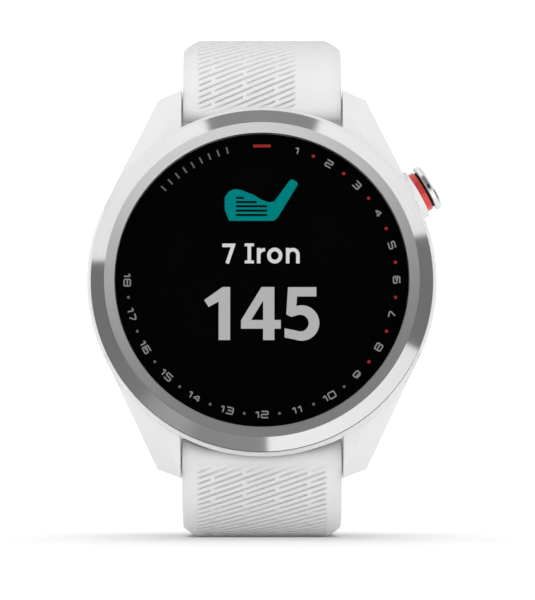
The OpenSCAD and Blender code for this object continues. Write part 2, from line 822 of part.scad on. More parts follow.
case_middle();
bezel();
lens();
lens_seal();
number_ring();
touch_panel();
display_panel();
light_guide();
display_tray();
display_flex();
inner_frame();
main_board();
board_screws();
shield_can();
board_chips();
battery();
battery_pad();
battery_lead();
vibration_motor();
antenna_film();
side_switch();
pusher_bush();
pusher_spring();
pusher_cap();
pusher_stem();
pusher_seals();
pusher_clip();
back_seal();
back_cover();
cover_screws();
charge_socket();
charge_pins();
charge_board();
upper_strap();
upper_bar();
upper_bar_spring();
upper_release();
lower_strap();
lower_bar();
lower_bar_spring();
lower_release();
fixed_keeper();
loose_keeper();
buckle_bar();
buckle_frame();
buckle_tongue();
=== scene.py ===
"""Golf GPS watch: finishes, strap, dial and studio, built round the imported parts."""

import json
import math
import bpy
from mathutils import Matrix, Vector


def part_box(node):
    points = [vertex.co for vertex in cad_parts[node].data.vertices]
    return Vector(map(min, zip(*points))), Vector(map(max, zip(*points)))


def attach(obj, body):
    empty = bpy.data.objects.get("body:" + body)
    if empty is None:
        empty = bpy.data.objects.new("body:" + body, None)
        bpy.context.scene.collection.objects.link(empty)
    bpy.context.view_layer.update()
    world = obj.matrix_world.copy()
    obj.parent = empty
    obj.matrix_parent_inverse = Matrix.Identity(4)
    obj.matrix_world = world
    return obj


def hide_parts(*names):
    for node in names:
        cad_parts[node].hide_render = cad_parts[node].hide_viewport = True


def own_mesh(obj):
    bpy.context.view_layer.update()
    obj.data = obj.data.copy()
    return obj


bl_info = {
    "name": "Golf GPS Watch",
    "version": (1, 0, 0),
    "blender": (4, 5, 0),
    "location": "View3D > Sidebar > Golf Watch",
    "description": "Builds the straps, dial, metalwork and studio of a golf GPS watch",
    "category": "Object",
}

import bmesh
import bpy
from bpy.props import FloatProperty, FloatVectorProperty, IntProperty, PointerProperty
from bpy.types import Operator, Panel, PropertyGroup
from mathutils import Vector
from mathutils.geometry import tessellate_polygon

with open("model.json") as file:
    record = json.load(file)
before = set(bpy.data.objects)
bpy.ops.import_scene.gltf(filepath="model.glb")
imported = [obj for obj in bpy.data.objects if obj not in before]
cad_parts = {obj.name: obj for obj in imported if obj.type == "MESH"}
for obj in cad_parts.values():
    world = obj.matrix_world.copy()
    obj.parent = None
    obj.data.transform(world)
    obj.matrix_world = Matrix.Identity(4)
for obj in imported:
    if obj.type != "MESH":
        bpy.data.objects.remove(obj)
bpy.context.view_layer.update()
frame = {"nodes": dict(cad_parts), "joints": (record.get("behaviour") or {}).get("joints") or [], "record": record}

MM = 0.001


def joint(name):
    """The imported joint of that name."""
    return next(j for j in frame["joints"] if j["name"] == name)


glass_low, glass_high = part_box("lens")
bezel_low, bezel_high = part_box("bezel")
cap_low, cap_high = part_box("pusher_cap")
DIAL_Z = (glass_low.z + glass_high.z) / 2
GLASS_BACK = glass_high.y
SCREEN_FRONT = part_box("touch_panel")[0].y
GLASS_R = (glass_high.x - glass_low.x) / 2
BEZEL_R = (bezel_high.x - bezel_low.x) / 2
UPPER_PIVOT = Vector(joint("upper_strap_swing")["pos_m"])
LOWER_PIVOT = Vector(joint("lower_strap_swing")["pos_m"])
BEND_CENTRE = Vector(joint("keeper_slide")["pos_m"])
STRAP_HALF_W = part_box("upper_strap")[1].x


# ---- Settings ----


def length(name, description, default):
    """A length setting, given in millimetres."""
    return FloatProperty(name=name, description=description, default=default * MM, unit="LENGTH", precision=5)


class WatchStrapSettings(PropertyGroup):
    """Sizes of the silicone strap."""

    thickness: length("Thickness", "Thickness of the strap", 2.8)
    edge_width: length("Edge width", "Width of the sloped edge", 1.9)
    edge_height: length("Edge height", "Height of the sloped edge", 1.25)
    end_radius: length("End radius", "Radius of the ends round their bars", 1.7)
    lead: length("Lead", "Straight stretch past each spring bar", 2.4)
    first_bend: length("First bend", "Radius of the bend past each lug", 5.7)
    rear_bend: length("Rear bend", "Radius of the wide bend at the back", 25)
    upper_end: length("Buckle lead", "Straight stretch before the buckle", 6)
    tail: length("Tail", "Straight stretch at the tip", 24)
    tip_corner: length("Tip corner", "Radius of the corners of the tip", 7)
    hole_count: IntProperty(name="Holes", description="Number of adjustment holes", default=9, min=1, max=10)
    hole_pitch: length("Hole pitch", "Distance between holes", 6)
    first_hole: length("First hole", "Distance of the last hole from the tip", 11)
    upper_pitch: length("Upper pitch", "Distance between the upper strap's grooves", 0.77)
    lower_pitch: length("Lower pitch", "Distance between the lower strap's grooves", 0.7)
    groove_width: length("Groove width", "Width of a groove at its mouth", 0.4)
    groove_depth: length("Groove depth", "Depth of a groove", 0.42)
    upper_rise: FloatProperty(
        name="Upper rise", description="Rise of the upper strap's grooves", default=math.atan(0.43), subtype="ANGLE"
    )
    lower_rise: FloatProperty(
        name="Lower rise", description="Rise of the lower strap's grooves", default=math.atan(0.36), subtype="ANGLE"
    )
    groove_length: length("Grooved length", "Length of strap that is grooved", 44)


class WatchColours(PropertyGroup):
    """Colours of the watch, as linear values."""

    strap: FloatVectorProperty(
        name="Strap", description="Silicone of the strap", default=(0.83, 0.83, 0.825), subtype="COLOR", size=3
    )
    case: FloatVectorProperty(
        name="Body", description="Polymer of the body", default=(0.86, 0.86, 0.855), subtype="COLOR", size=3
    )
    accent: FloatVectorProperty(
        name="Accent", description="Pusher collar and front nine dots", default=(0.72, 0.05, 0.045),
        subtype="COLOR", size=3
    )
    icon: FloatVectorProperty(
        name="Icon", description="Club icon on the screen", default=(0.0, 0.21, 0.205), subtype="COLOR", size=3
    )
    name_text: FloatVectorProperty(
        name="Club name", description="Club name on the screen", default=(0.66, 0.66, 0.66), subtype="COLOR", size=3
    )
    distance_text: FloatVectorProperty(
        name="Distance", description="Distance on the screen", default=(0.45, 0.45, 0.45), subtype="COLOR", size=3
    )
    numerals: FloatVectorProperty(
        name="Hole numbers", description="Printed hole numbers", default=(0.17, 0.17, 0.17), subtype="COLOR", size=3
    )


class WatchStageSettings(PropertyGroup):
    """Studio round the watch."""

    sky: FloatProperty(name="Surround", description="Strength of the white surround", default=1.0, min=0)
    key: FloatProperty(name="Key", description="Power of the large front light", default=1.0, min=0)
    floor: FloatVectorProperty(
        name="Floor", description="Colour of the floor", default=(0.45, 0.45, 0.45), subtype="COLOR", size=3
    )
    distance: FloatProperty(
        name="Camera distance", description="From the camera to the dial", default=0.35, unit="LENGTH"
    )


# ---- Shader nodes ----


class Signal:
    """A shader value. Arithmetic on it adds Math nodes to its tree."""

    def __init__(self, tree, socket):
        self.tree = tree
        self.socket = socket

    def math(self, operation, first, second=None):
        values = {0: first}
        if second is not None:
            values[1] = second
        return self.tree.node("ShaderNodeMath", {"operation": operation}, values)

    def __add__(self, other):
        return self.math("ADD", self, other)

    def __radd__(self, other):
        return self.math("ADD", other, self)

    def __sub__(self, other):
        return self.math("SUBTRACT", self, other)

    def __rsub__(self, other):
        return self.math("SUBTRACT", other, self)

    def __mul__(self, other):
        return self.math("MULTIPLY", self, other)

    def __rmul__(self, other):
        return self.math("MULTIPLY", other, self)

    def __truediv__(self, other):
        return self.math("DIVIDE", self, other)

    def smooth(self, low, high):
        """0 below low and 1 above high, with an eased step between."""
        ranges = {"Value": self, "From Min": low, "From Max": high}
        return self.tree.node("ShaderNodeMapRange", {"interpolation_type": "SMOOTHSTEP"}, ranges)


class Tree:
    """A node tree, and short ways to add to it."""

    def __init__(self, node_tree):
        self.tree = node_tree

    def node(self, kind, settings=None, values=None, output=0):
        """Adds a node: its settings first, then the values or links of its sockets."""
        made = self.tree.nodes.new(kind)
        for key, value in (settings or {}).items():
            setattr(made, key, value)
        for key, value in (values or {}).items():
            self.feed(made.inputs[key], value)
        return Signal(self, made.outputs[output])

    def feed(self, socket, value):
        if isinstance(value, Signal):
            self.tree.links.new(value.socket, socket)
        else:
            socket.default_value = value

    def place(self):
        """Position in the part's own frame, as three signals."""
        coordinates = self.node("ShaderNodeTexCoord", output=3)
        split = self.node("ShaderNodeSeparateXYZ", values={0: coordinates})
        sockets = split.socket.node.outputs
        return [Signal(self, socket) for socket in sockets]

    def vector(self, x, y, z):
        return self.node("ShaderNodeCombineXYZ", values={0: x, 1: y, 2: z})

    def noise(self, size, detail=3.0, vector=None, roughness=0.5):
        """Noise from 0 to 1, with features of that size in metres."""
        values = {"Scale": 1 / size, "Detail": detail, "Roughness": roughness}
        values["Vector"] = vector or self.node("ShaderNodeTexCoord", output=3)
        return self.node("ShaderNodeTexNoise", values=values)

    def cells(self, size):
        """Distance to cell centres, with cells of that size in metres."""
        coordinates = self.node("ShaderNodeTexCoord", output=3)
        return self.node("ShaderNodeTexVoronoi", values={"Scale": 1 / size, "Vector": coordinates})

    def blend(self, factor, first, second):
        """Colour between two colours."""
        return self.node(
            "ShaderNodeMix", {"data_type": "RGBA"}, {0: factor, 6: as_colour(first), 7: as_colour(second)}, output=2
        )


class Look(Tree):
    """A material on one Principled shader, with constants set on its own sockets."""

    def __init__(self, name, **constants):
        self.material = bpy.data.materials.new(name)
        self.material.use_nodes = True
        super().__init__(self.material.node_tree)
        self.shader = self.tree.nodes["Principled BSDF"]
        for key, value in constants.items():
            self.set(key.replace("_", " "), value)

    def set(self, socket, value):
        value = as_colour(value) if isinstance(value, (tuple, list)) else value
        self.feed(self.shader.inputs[socket], value)

    def relief(self, height, distance, soft_edge=0.0):
        """Bump of that distance in metres, over edges eased by soft_edge metres."""
        values = {"Height": height, "Distance": distance, "Strength": 1.0}
        if soft_edge:
            values["Normal"] = self.node("ShaderNodeBevel", {"samples": 6}, {"Radius": soft_edge})
        self.set("Normal", self.node("ShaderNodeBump", values=values))


def as_colour(value):
    """A colour of four parts, or the signal itself."""
    if isinstance(value, Signal):
        return value
    return (*tuple(value)[:3], 1.0)


def shade(colour, factor):
    return tuple(min(1.0, part * factor) for part in tuple(colour)[:3])


# ---- Finishes ----


def silicone(name, colour):
    """Soft matte silicone: faint clouding, a fine moulded grain, a trace of handling dust, and painted shade that
    greys its grooves and hollows.
    """
    look = Look(name, Specular_IOR_Level=0.42)
    cloud = look.noise(5 * MM, 4)
    dust = look.noise(0.5 * MM, 2).smooth(0.62, 0.8)
    tone = look.blend(cloud, shade(colour, 0.975), shade(colour, 1.02))
    # Painted shade: where the surface curves inwards, in the grooves and hollows, the colour is greyed as if shade
    # fell there.
    bend = look.node("ShaderNodeNewGeometry", output="Pointiness")
    groove_shade = (0.5 - bend).smooth(0.01, 0.09)
    tone = look.blend(0.2 * groove_shade, tone, (0.25, 0.25, 0.25))
    look.set("Base Color", look.blend(dust * 0.12, tone, shade(colour, 0.93)))
    grain = look.noise(0.07 * MM, 2)
    look.set("Roughness", 0.46 + 0.14 * cloud + 0.08 * grain)
    look.relief(grain + 0.6 * look.noise(0.3 * MM, 3), 0.004 * MM, 0.12 * MM)
    return look.material


def polymer(name, colour, rough=0.3, edge=0.14 * MM, grain_size=0.09 * MM):
    """Moulded polymer with a spark-eroded grain and slightly rubbed edges."""
    look = Look(name, Specular_IOR_Level=0.5)
    cloud = look.noise(7 * MM, 3)
    grain = look.cells(grain_size)
    look.set("Base Color", look.blend(cloud, shade(colour, 0.975), shade(colour, 1.02)))
    look.set("Roughness", rough + 0.1 * cloud + 0.08 * grain)
    look.relief(grain + 0.5 * look.noise(0.4 * MM, 2), 0.0025 * MM, edge)
    return look.material


def dial_polar(look):
    """(distance from the dial axis, sine and cosine of the angle round it)."""
    x, _, z = look.place()
    up = z - DIAL_Z
    radius = look.node("ShaderNodeMath", {"operation": "SQRT"}, {0: x * x + up * up})
    return radius, up / radius, x / radius


def turned_steel(name):
    """Steel brushed round the dial axis, with polished wall and finer inner facet."""
    look = Look(name, Metallic=1.0, Specular_IOR_Level=0.5)
    radius, rise, run = dial_polar(look)
    lines = look.noise(1.0, 2, look.vector(radius * 22000, rise * 5, run * 5))
    broad = look.noise(1.0, 2, look.vector(radius * 3000, rise * 3, run * 3))
    facet = radius.smooth(BEZEL_R - 1.9 * MM, BEZEL_R - 1.7 * MM)
    worn = look.noise(3 * MM, 3)
    look.set("Base Color", look.blend(lines * 0.5 + broad * 0.5, (0.72, 0.725, 0.73), (0.86, 0.86, 0.865)))
    look.set("Roughness", 0.27 - 0.19 * facet + (0.1 - 0.07 * facet) * lines + (0.05 - 0.03 * facet) * worn)
    look.relief(lines + 0.5 * broad, 0.0006 * MM)
    return look.material


def steel(name, tint=(0.74, 0.745, 0.75), rough=0.2, edge=0.06 * MM, along=(1, 1, 14)):
    """Machined steel: directional brushing, faint smears and softened edges."""
    look = Look(name, Metallic=1.0)
    x, y, z = look.place()
    lines = look.noise(1.0, 3, look.vector(x * 900 * along[0], y * 900 * along[1], z * 900 * along[2]))
    smear = look.noise(2.5 * MM, 3)
    look.set("Base Color", look.blend(smear, shade(tint, 0.93), shade(tint, 1.06)))
    look.set("Roughness", rough + 0.12 * lines + 0.08 * smear)
    look.relief(lines, 0.0008 * MM, edge)
    return look.material


def coated(name, colour, rough, grain_size, depth, contrast=0.15, metallic=0.0, shine=0.5):
    """Plain small parts: a colour with clouding, a grain and softened edges."""
    look = Look(name, Metallic=metallic, Specular_IOR_Level=shine)
    cloud = look.noise(1.5 * MM, 4)
    grain = look.noise(grain_size, 3)
    look.set("Base Color", look.blend(cloud, shade(colour, 1 - contrast), shade(colour, 1 + contrast)))
    look.set("Roughness", rough + 0.12 * grain)
    look.relief(grain, depth, 0.05 * MM)
    return look.material


def circuit(name):
    """Green board: copper tracks under solder mask, with tinned pads."""
    look = Look(name)
    x, _, z = look.place()
    sweep = look.vector(x * 1400, 0.0, z * 500)
    tracks = look.noise(1.0, 1, sweep).smooth(0.5, 0.54)
    pads = 1 - look.cells(1.6 * MM).smooth(0.12, 0.16)
    mask = look.blend(tracks, (0.012, 0.10, 0.045), (0.03, 0.2, 0.08))
    look.set("Base Color", look.blend(pads, mask, (0.7, 0.66, 0.55)))
    look.set("Metallic", pads)
    look.set("Roughness", 0.34 + 0.1 * look.noise(0.3 * MM))
    look.relief(tracks + pads, 0.02 * MM)
    return look.material


def panel_black(name):
    """Black display glass with the faint grid of its dots."""
    look = Look(name, Specular_IOR_Level=0.0)
    grid = look.node("ShaderNodeTexChecker", values={"Scale": 1 / (0.13 * MM)})
    fade = look.noise(9 * MM, 2)
    look.set("Base Color", look.blend(grid * 0.5, (0.0012, 0.0012, 0.0014), (0.0020, 0.0020, 0.0022)))
    look.set("Roughness", 0.34 + 0.08 * fade)
    return look.material


def lit_area(name, colour):
    """Lit area of the screen: even light, very slightly broken up by its rows."""
    look = Look(name, Specular_IOR_Level=0.0, Roughness=0.6)
    grain = look.noise(0.16 * MM, 2)
    tone = look.blend(grain, shade(colour, 0.94), shade(colour, 1.05))
    look.set("Base Color", (0.0, 0.0, 0.0))
    look.set("Emission Color", tone)
    look.set("Emission Strength", 1.0)
    return look.material


def printed_ink(name, colour, painted_glow=0.55):
    """Ink printed on the underside of the glass, a little uneven, with a painted glow: it emits its own colour, so it
    shows as lit whatever light falls on it.
    """
    look = Look(name, Specular_IOR_Level=0.1, Roughness=0.6, Emission_Strength=painted_glow)
    grain = look.noise(0.12 * MM, 3)
    tone = look.blend(grain, shade(colour, 0.85), shade(colour, 1.12))
    look.set("Base Color", tone)
    # Painted glow: the ink's colour is also its emission.
    look.set("Emission Color", tone)
    return look.material


def clear_glass(name):
    """Flat chemically hardened glass: clear, with a sheen that grows at a slant and a few faint smears."""
    look = Look(name, Metallic=1.0, Roughness=0.03)
    look.set("Base Color", (1.0, 1.0, 1.0))
    smear = look.noise(6 * MM, 4).smooth(0.55, 0.8)
    look.set("Roughness", 0.02 + 0.05 * smear)
    clear = look.node("ShaderNodeBsdfTransparent")
    fresnel = look.node("ShaderNodeFresnel", values={"IOR": 1.38})
    mixed = look.node("ShaderNodeMixShader", values={0: fresnel * (0.4 + 0.1 * smear), 1: clear})
    look.tree.links.new(look.shader.outputs[0], mixed.socket.node.inputs[2])
    look.tree.links.new(mixed.socket, look.tree.nodes["Material Output"].inputs["Surface"])
    return look.material


def anodised(name, colour):
    """Satin anodised aluminium, turned round its own axis."""
    look = Look(name, Metallic=0.35, Coat_Weight=0.4, Coat_Roughness=0.2)
    lines = look.noise(0.1 * MM, 3)
    look.set("Base Color", look.blend(lines, shade(colour, 0.88), shade(colour, 1.12)))
    look.set("Roughness", 0.3 + 0.12 * lines)
    look.relief(lines, 0.001 * MM, 0.05 * MM)
    return look.material


looks = {}


def look_for(slot):
    """The finish of a material slot, made once."""
    colours = bpy.context.scene.watch_colours
    makers = {
        "case_polymer": lambda n: polymer(n, colours.case),
        "bezel_steel": turned_steel,
        "glass": clear_glass,
        "black_film": lambda n: coated(n, (0.0012, 0.0012, 0.0013), 0.4, 0.1 * MM, 0.001 * MM, shine=0.0),
        "display": panel_black,
        "diffuser": lambda n: coated(n, (0.8, 0.82, 0.84), 0.4, 0.2 * MM, 0.002 * MM, 0.03),
        "dark_polymer": lambda n: polymer(n, (0.03, 0.03, 0.033), 0.42, 0.06 * MM),
        "flex_film": lambda n: coated(n, (0.5, 0.2, 0.035), 0.3, 0.4 * MM, 0.004 * MM, 0.25),
        "board_green": circuit,
        "steel": steel,
        "polished_steel": lambda n: steel(n, (0.83, 0.835, 0.84), 0.09, 0.16 * MM, (10, 1, 1)),
        "spring_steel": lambda n: steel(n, (0.5, 0.5, 0.52), 0.28, 0.02 * MM),
        "cell_foil": lambda n: coated(n, (0.62, 0.63, 0.64), 0.3, 0.7 * MM, 0.02 * MM, 0.06, 0.9),
        "foam": lambda n: coated(n, (0.7, 0.52, 0.14), 0.7, 0.15 * MM, 0.02 * MM),
        "gold_contacts": lambda n: coated(n, (0.83, 0.6, 0.24), 0.22, 0.08 * MM, 0.001 * MM, 0.06, 1.0),
        "red_ring": lambda n: anodised(n, colours.accent),
        "seal_rubber": lambda n: coated(n, (0.015, 0.015, 0.016), 0.6, 0.1 * MM, 0.003 * MM),
        "cover_grey": lambda n: polymer(n, (0.11, 0.11, 0.115), 0.4, 0.16 * MM, 0.14 * MM),
        "strap_silicone": lambda n: silicone(n, colours.strap),
    }
    if slot not in looks:
        looks[slot] = makers[slot]("finish_" + slot)
    return looks[slot]


def slot_of(node):
    return next(s["material_slot"] for s in frame["record"]["subparts"] if s["node"] == node)


def finish_nodes(*names):
    """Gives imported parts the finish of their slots."""
    for name in names:
        part = frame["nodes"][name]
        if not part.material_slots:
            part.data.materials.append(None)
        for slot in part.material_slots:
            slot.material = look_for(slot_of(name))


# ---- Meshes ----


def add_piece(name, points, faces, material, body, replaces=(), sharp=30):
    """A mesh piece that rides on a body and takes a slot's place."""
    mesh = bpy.data.meshes.new(name)
    mesh.from_pydata([tuple(p) for p in points], [], faces)
    shape = bmesh.new()
    shape.from_mesh(mesh)
    bmesh.ops.recalc_face_normals(shape, faces=shape.faces)
    shape.to_mesh(mesh)
    shape.free()
    piece = bpy.data.objects.new(name, mesh)
    bpy.context.scene.collection.objects.link(piece)
    mesh.materials.append(material)
    mesh.shade_smooth()
    mesh.set_sharp_from_angle(angle=math.radians(sharp))
    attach(piece, body)
    if replaces:
        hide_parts(*replaces)
    return piece


def on_dial(x, up, out):
    """A point by its place on the dial and how far it stands out of the screen's face, in metres."""
    return Vector((x, SCREEN_FRONT - out, DIAL_Z + up))


def lathe(profile, place, turns=192):
    """Points and faces of a closed profile of (radius, height) turned about an axis; place maps (x, y, height)."""
    points = []
    for i in range(turns):
        a = math.tau * i / turns
        points += [place(r * math.cos(a), r * math.sin(a), h) for r, h in profile]
    n = len(profile)
    faces = []
    for i in range(turns):
        j = (i + 1) % turns
        for k in range(n):
            m = (k + 1) % n
            if profile[k][0] < 1e-9 and profile[m][0] < 1e-9:
                continue
            faces.append((i * n + k, i * n + m, j * n + m, j * n + k))
    return points, faces


def eased(outline, radius, steps=4, closed=True):
    """An outline with its corners rounded. A point may carry its own radius."""
    made = []
    count = len(outline)
    for i, corner in enumerate(outline):
        here = Vector(corner[:2])
        own = corner[2] if len(corner) > 2 else radius
        if own <= 0 or (not closed and i in (0, count - 1)):
            made.append(here)
            continue
        before = Vector(outline[i - 1][:2]) - here
        after = Vector(outline[(i + 1) % count][:2]) - here
        angle = before.angle(after)
        reach = min(own / math.tan(angle / 2), before.length * 0.49, after.length * 0.49)
        start = here + before.normalized() * reach
        end = here + after.normalized() * reach
        for k in range(steps + 1):
            t = k / steps
            made.append(start * (1 - t) ** 2 + here * 2 * t * (1 - t) + end * t * t)
    return made


def plate(loops, low, high, place):
    """Points and faces of a flat plate: the first loop is its outline and the others are holes."""
    flat = [Vector((p[0], p[1], 0)) for loop in loops for p in loop]
    triangles = tessellate_polygon([[Vector((p[0], p[1], 0)) for p in loop] for loop in loops])
    n = len(flat)
    points = [place(p.x, p.y, low) for p in flat] + [place(p.x, p.y, high) for p in flat]
    faces = [tuple(t) for t in triangles] + [tuple(i + n for i in reversed(t)) for t in triangles]
    start = 0
    for loop in loops:
        size = len(loop)
        for i in range(size):
            a, b = start + i, start + (i + 1) % size
            faces.append((a, b, b + n, a + n))
        start += size
    return points, faces


def merge(parts):
    """Several (points, faces) as one."""
    points, faces = [], []
    for part_points, part_faces in parts:
        shift = len(points)
        points += part_points
        faces += [tuple(i + shift for i in face) for face in part_faces]
    return points, faces


def ribbon(line, width, closed=False):
    """The outline loops of a stroke of that width along a line, mitred at its corners."""
    line = [Vector(p) for p in line]
    count = len(line)
    left, right = [], []
    for i, here in enumerate(line):
        before = line[i - 1] if closed or i else None
        after = line[(i + 1) % count] if closed or i < count - 1 else None
        ways = [w.normalized() for w in (here - before if before else None, after - here if after else None) if w]
        way = sum(ways, Vector((0, 0))).normalized()
        side = Vector((-way.y, way.x))
        stretch = 1 / max(0.4, abs(side.dot(Vector((-ways[0].y, ways[0].x)))))
        left.append(here + side * stretch * width / 2)
        right.append(here - side * stretch * width / 2)
    if closed:
        return [left, right] if loop_area(left) > loop_area(right) else [right, left]
    return [left + right[::-1]]


def loop_area(loop):
    return abs(sum(a.x * b.y - b.x * a.y for a, b in zip(loop, loop[1:] + loop[:1]))) / 2


def carve(piece, parts):
    """Cuts closed shapes, given as (points, faces), out of a piece."""
    points, faces = merge(parts)
    mesh = bpy.data.meshes.new("cutter")
    mesh.from_pydata([tuple(p) for p in points], [], faces)
    shape = bmesh.new()
    shape.from_mesh(mesh)
    bmesh.ops.recalc_face_normals(shape, faces=shape.faces)
    shape.to_mesh(mesh)
    shape.free()
    cutter = bpy.data.objects.new("cutter", mesh)
    bpy.context.scene.collection.objects.link(cutter)
    modifier = piece.modifiers.new("carve", "BOOLEAN")
    modifier.operation = "DIFFERENCE"
    modifier.solver = "MANIFOLD"
    modifier.object = cutter
    graph = bpy.context.evaluated_depsgraph_get()
    carved = bpy.data.meshes.new_from_object(piece.evaluated_get(graph))
    piece.modifiers.clear()
    piece.data = carved
    carved.shade_smooth()
    carved.set_sharp_from_angle(angle=math.radians(50))
    bpy.data.objects.remove(cutter)


def step(value, low, high):
    """0 below low and 1 above high, eased between."""
    t = min(1.0, max(0.0, (value - low) / (high - low)))
    return t * t * (3 - 2 * t)


# ---- Straps ----


def route(path, pivot, side):
    """(its length, a function from (distance along, across, height over the middle) to a point).
    The path is a list of (length, bend radius), where a straight has no radius."""

    def place(distance, across, height):
        back, up, heading, start = 0.0, 0.0, math.pi / 2, 0.0
        for i, (length, radius) in enumerate(path):
            last = i == len(path) - 1
            run = distance - start if last else min(distance - start, length)
            if radius and run > 0:
                turned = heading - run / radius
                back -= radius * (math.sin(turned) - math.sin(heading))
                up += radius * (math.cos(turned) - math.cos(heading))
                heading = turned
            else:
                back += run * math.cos(heading)
                up += run * math.sin(heading)
            if last or distance <= start + length:
                break
            start += length
        back -= height * math.sin(heading)
        up += height * math.cos(heading)
        return Vector((across, pivot.y + back, pivot.z + side * up))

    return sum(length for length, _ in path), place


def upper_route(sizes):
    quarter = math.pi / 2
    top_flat = BEND_CENTRE.y - UPPER_PIVOT.y - sizes.first_bend
    path = [(sizes.lead, 0), (sizes.first_bend * quarter, sizes.first_bend), (top_flat, 0),
            (sizes.rear_bend * quarter, sizes.rear_bend), (sizes.upper_end, 0)]
    return route(path, UPPER_PIVOT, 1)


def lower_route(sizes):
    quarter = math.pi / 2
    foot_flat = -2 * (LOWER_PIVOT.y + sizes.first_bend)
    path = [(sizes.lead, 0), (sizes.first_bend * quarter, sizes.first_bend), (foot_flat, 0),
            (sizes.rear_bend * quarter, sizes.rear_bend), (sizes.tail, 0)]
    return route(path, LOWER_PIVOT, -1)


def groove_rows(sizes):
    """(offset from the middle of a groove, share of its depth) of each row of points in it."""
    half = sizes.groove_width / 2
    shape = [(-1, 0), (-0.72, 0.12), (-0.45, 0.72), (-0.18, 1), (0.18, 1), (0.45, 0.72), (0.72, 0.12), (1, 0)]
    return [(where * half, depth) for where, depth in shape]


def strap_columns(sizes, start, end, breaks):
    """Where the rows' points lie across the outer face."""
    rim = STRAP_HALF_W
    flat = rim - sizes.edge_width
    soft = 0.3 * MM
    slope = [rim - 0.08 * MM, rim - 0.5 * MM, rim - 1.0 * MM, flat + soft, flat + soft / 2, flat, flat - soft]
    marks = [start, start + 0.3 * MM, end - 0.3 * MM, end]
    for place in breaks:
        marks += [place + offset for offset in (-0.42 * MM, -0.2 * MM, 0.2 * MM, 0.42 * MM)]
    marks += [k * 1.0 * MM for k in range(-7, 8)]
    marks = sorted(marks)
    kept = [marks[0]]
    for mark in marks[1:]:
        if mark - kept[-1] > 0.12 * MM:
            kept.append(mark)
    return [-value for value in slope] + [k for k in kept if abs(k) < flat - soft] + slope[::-1]


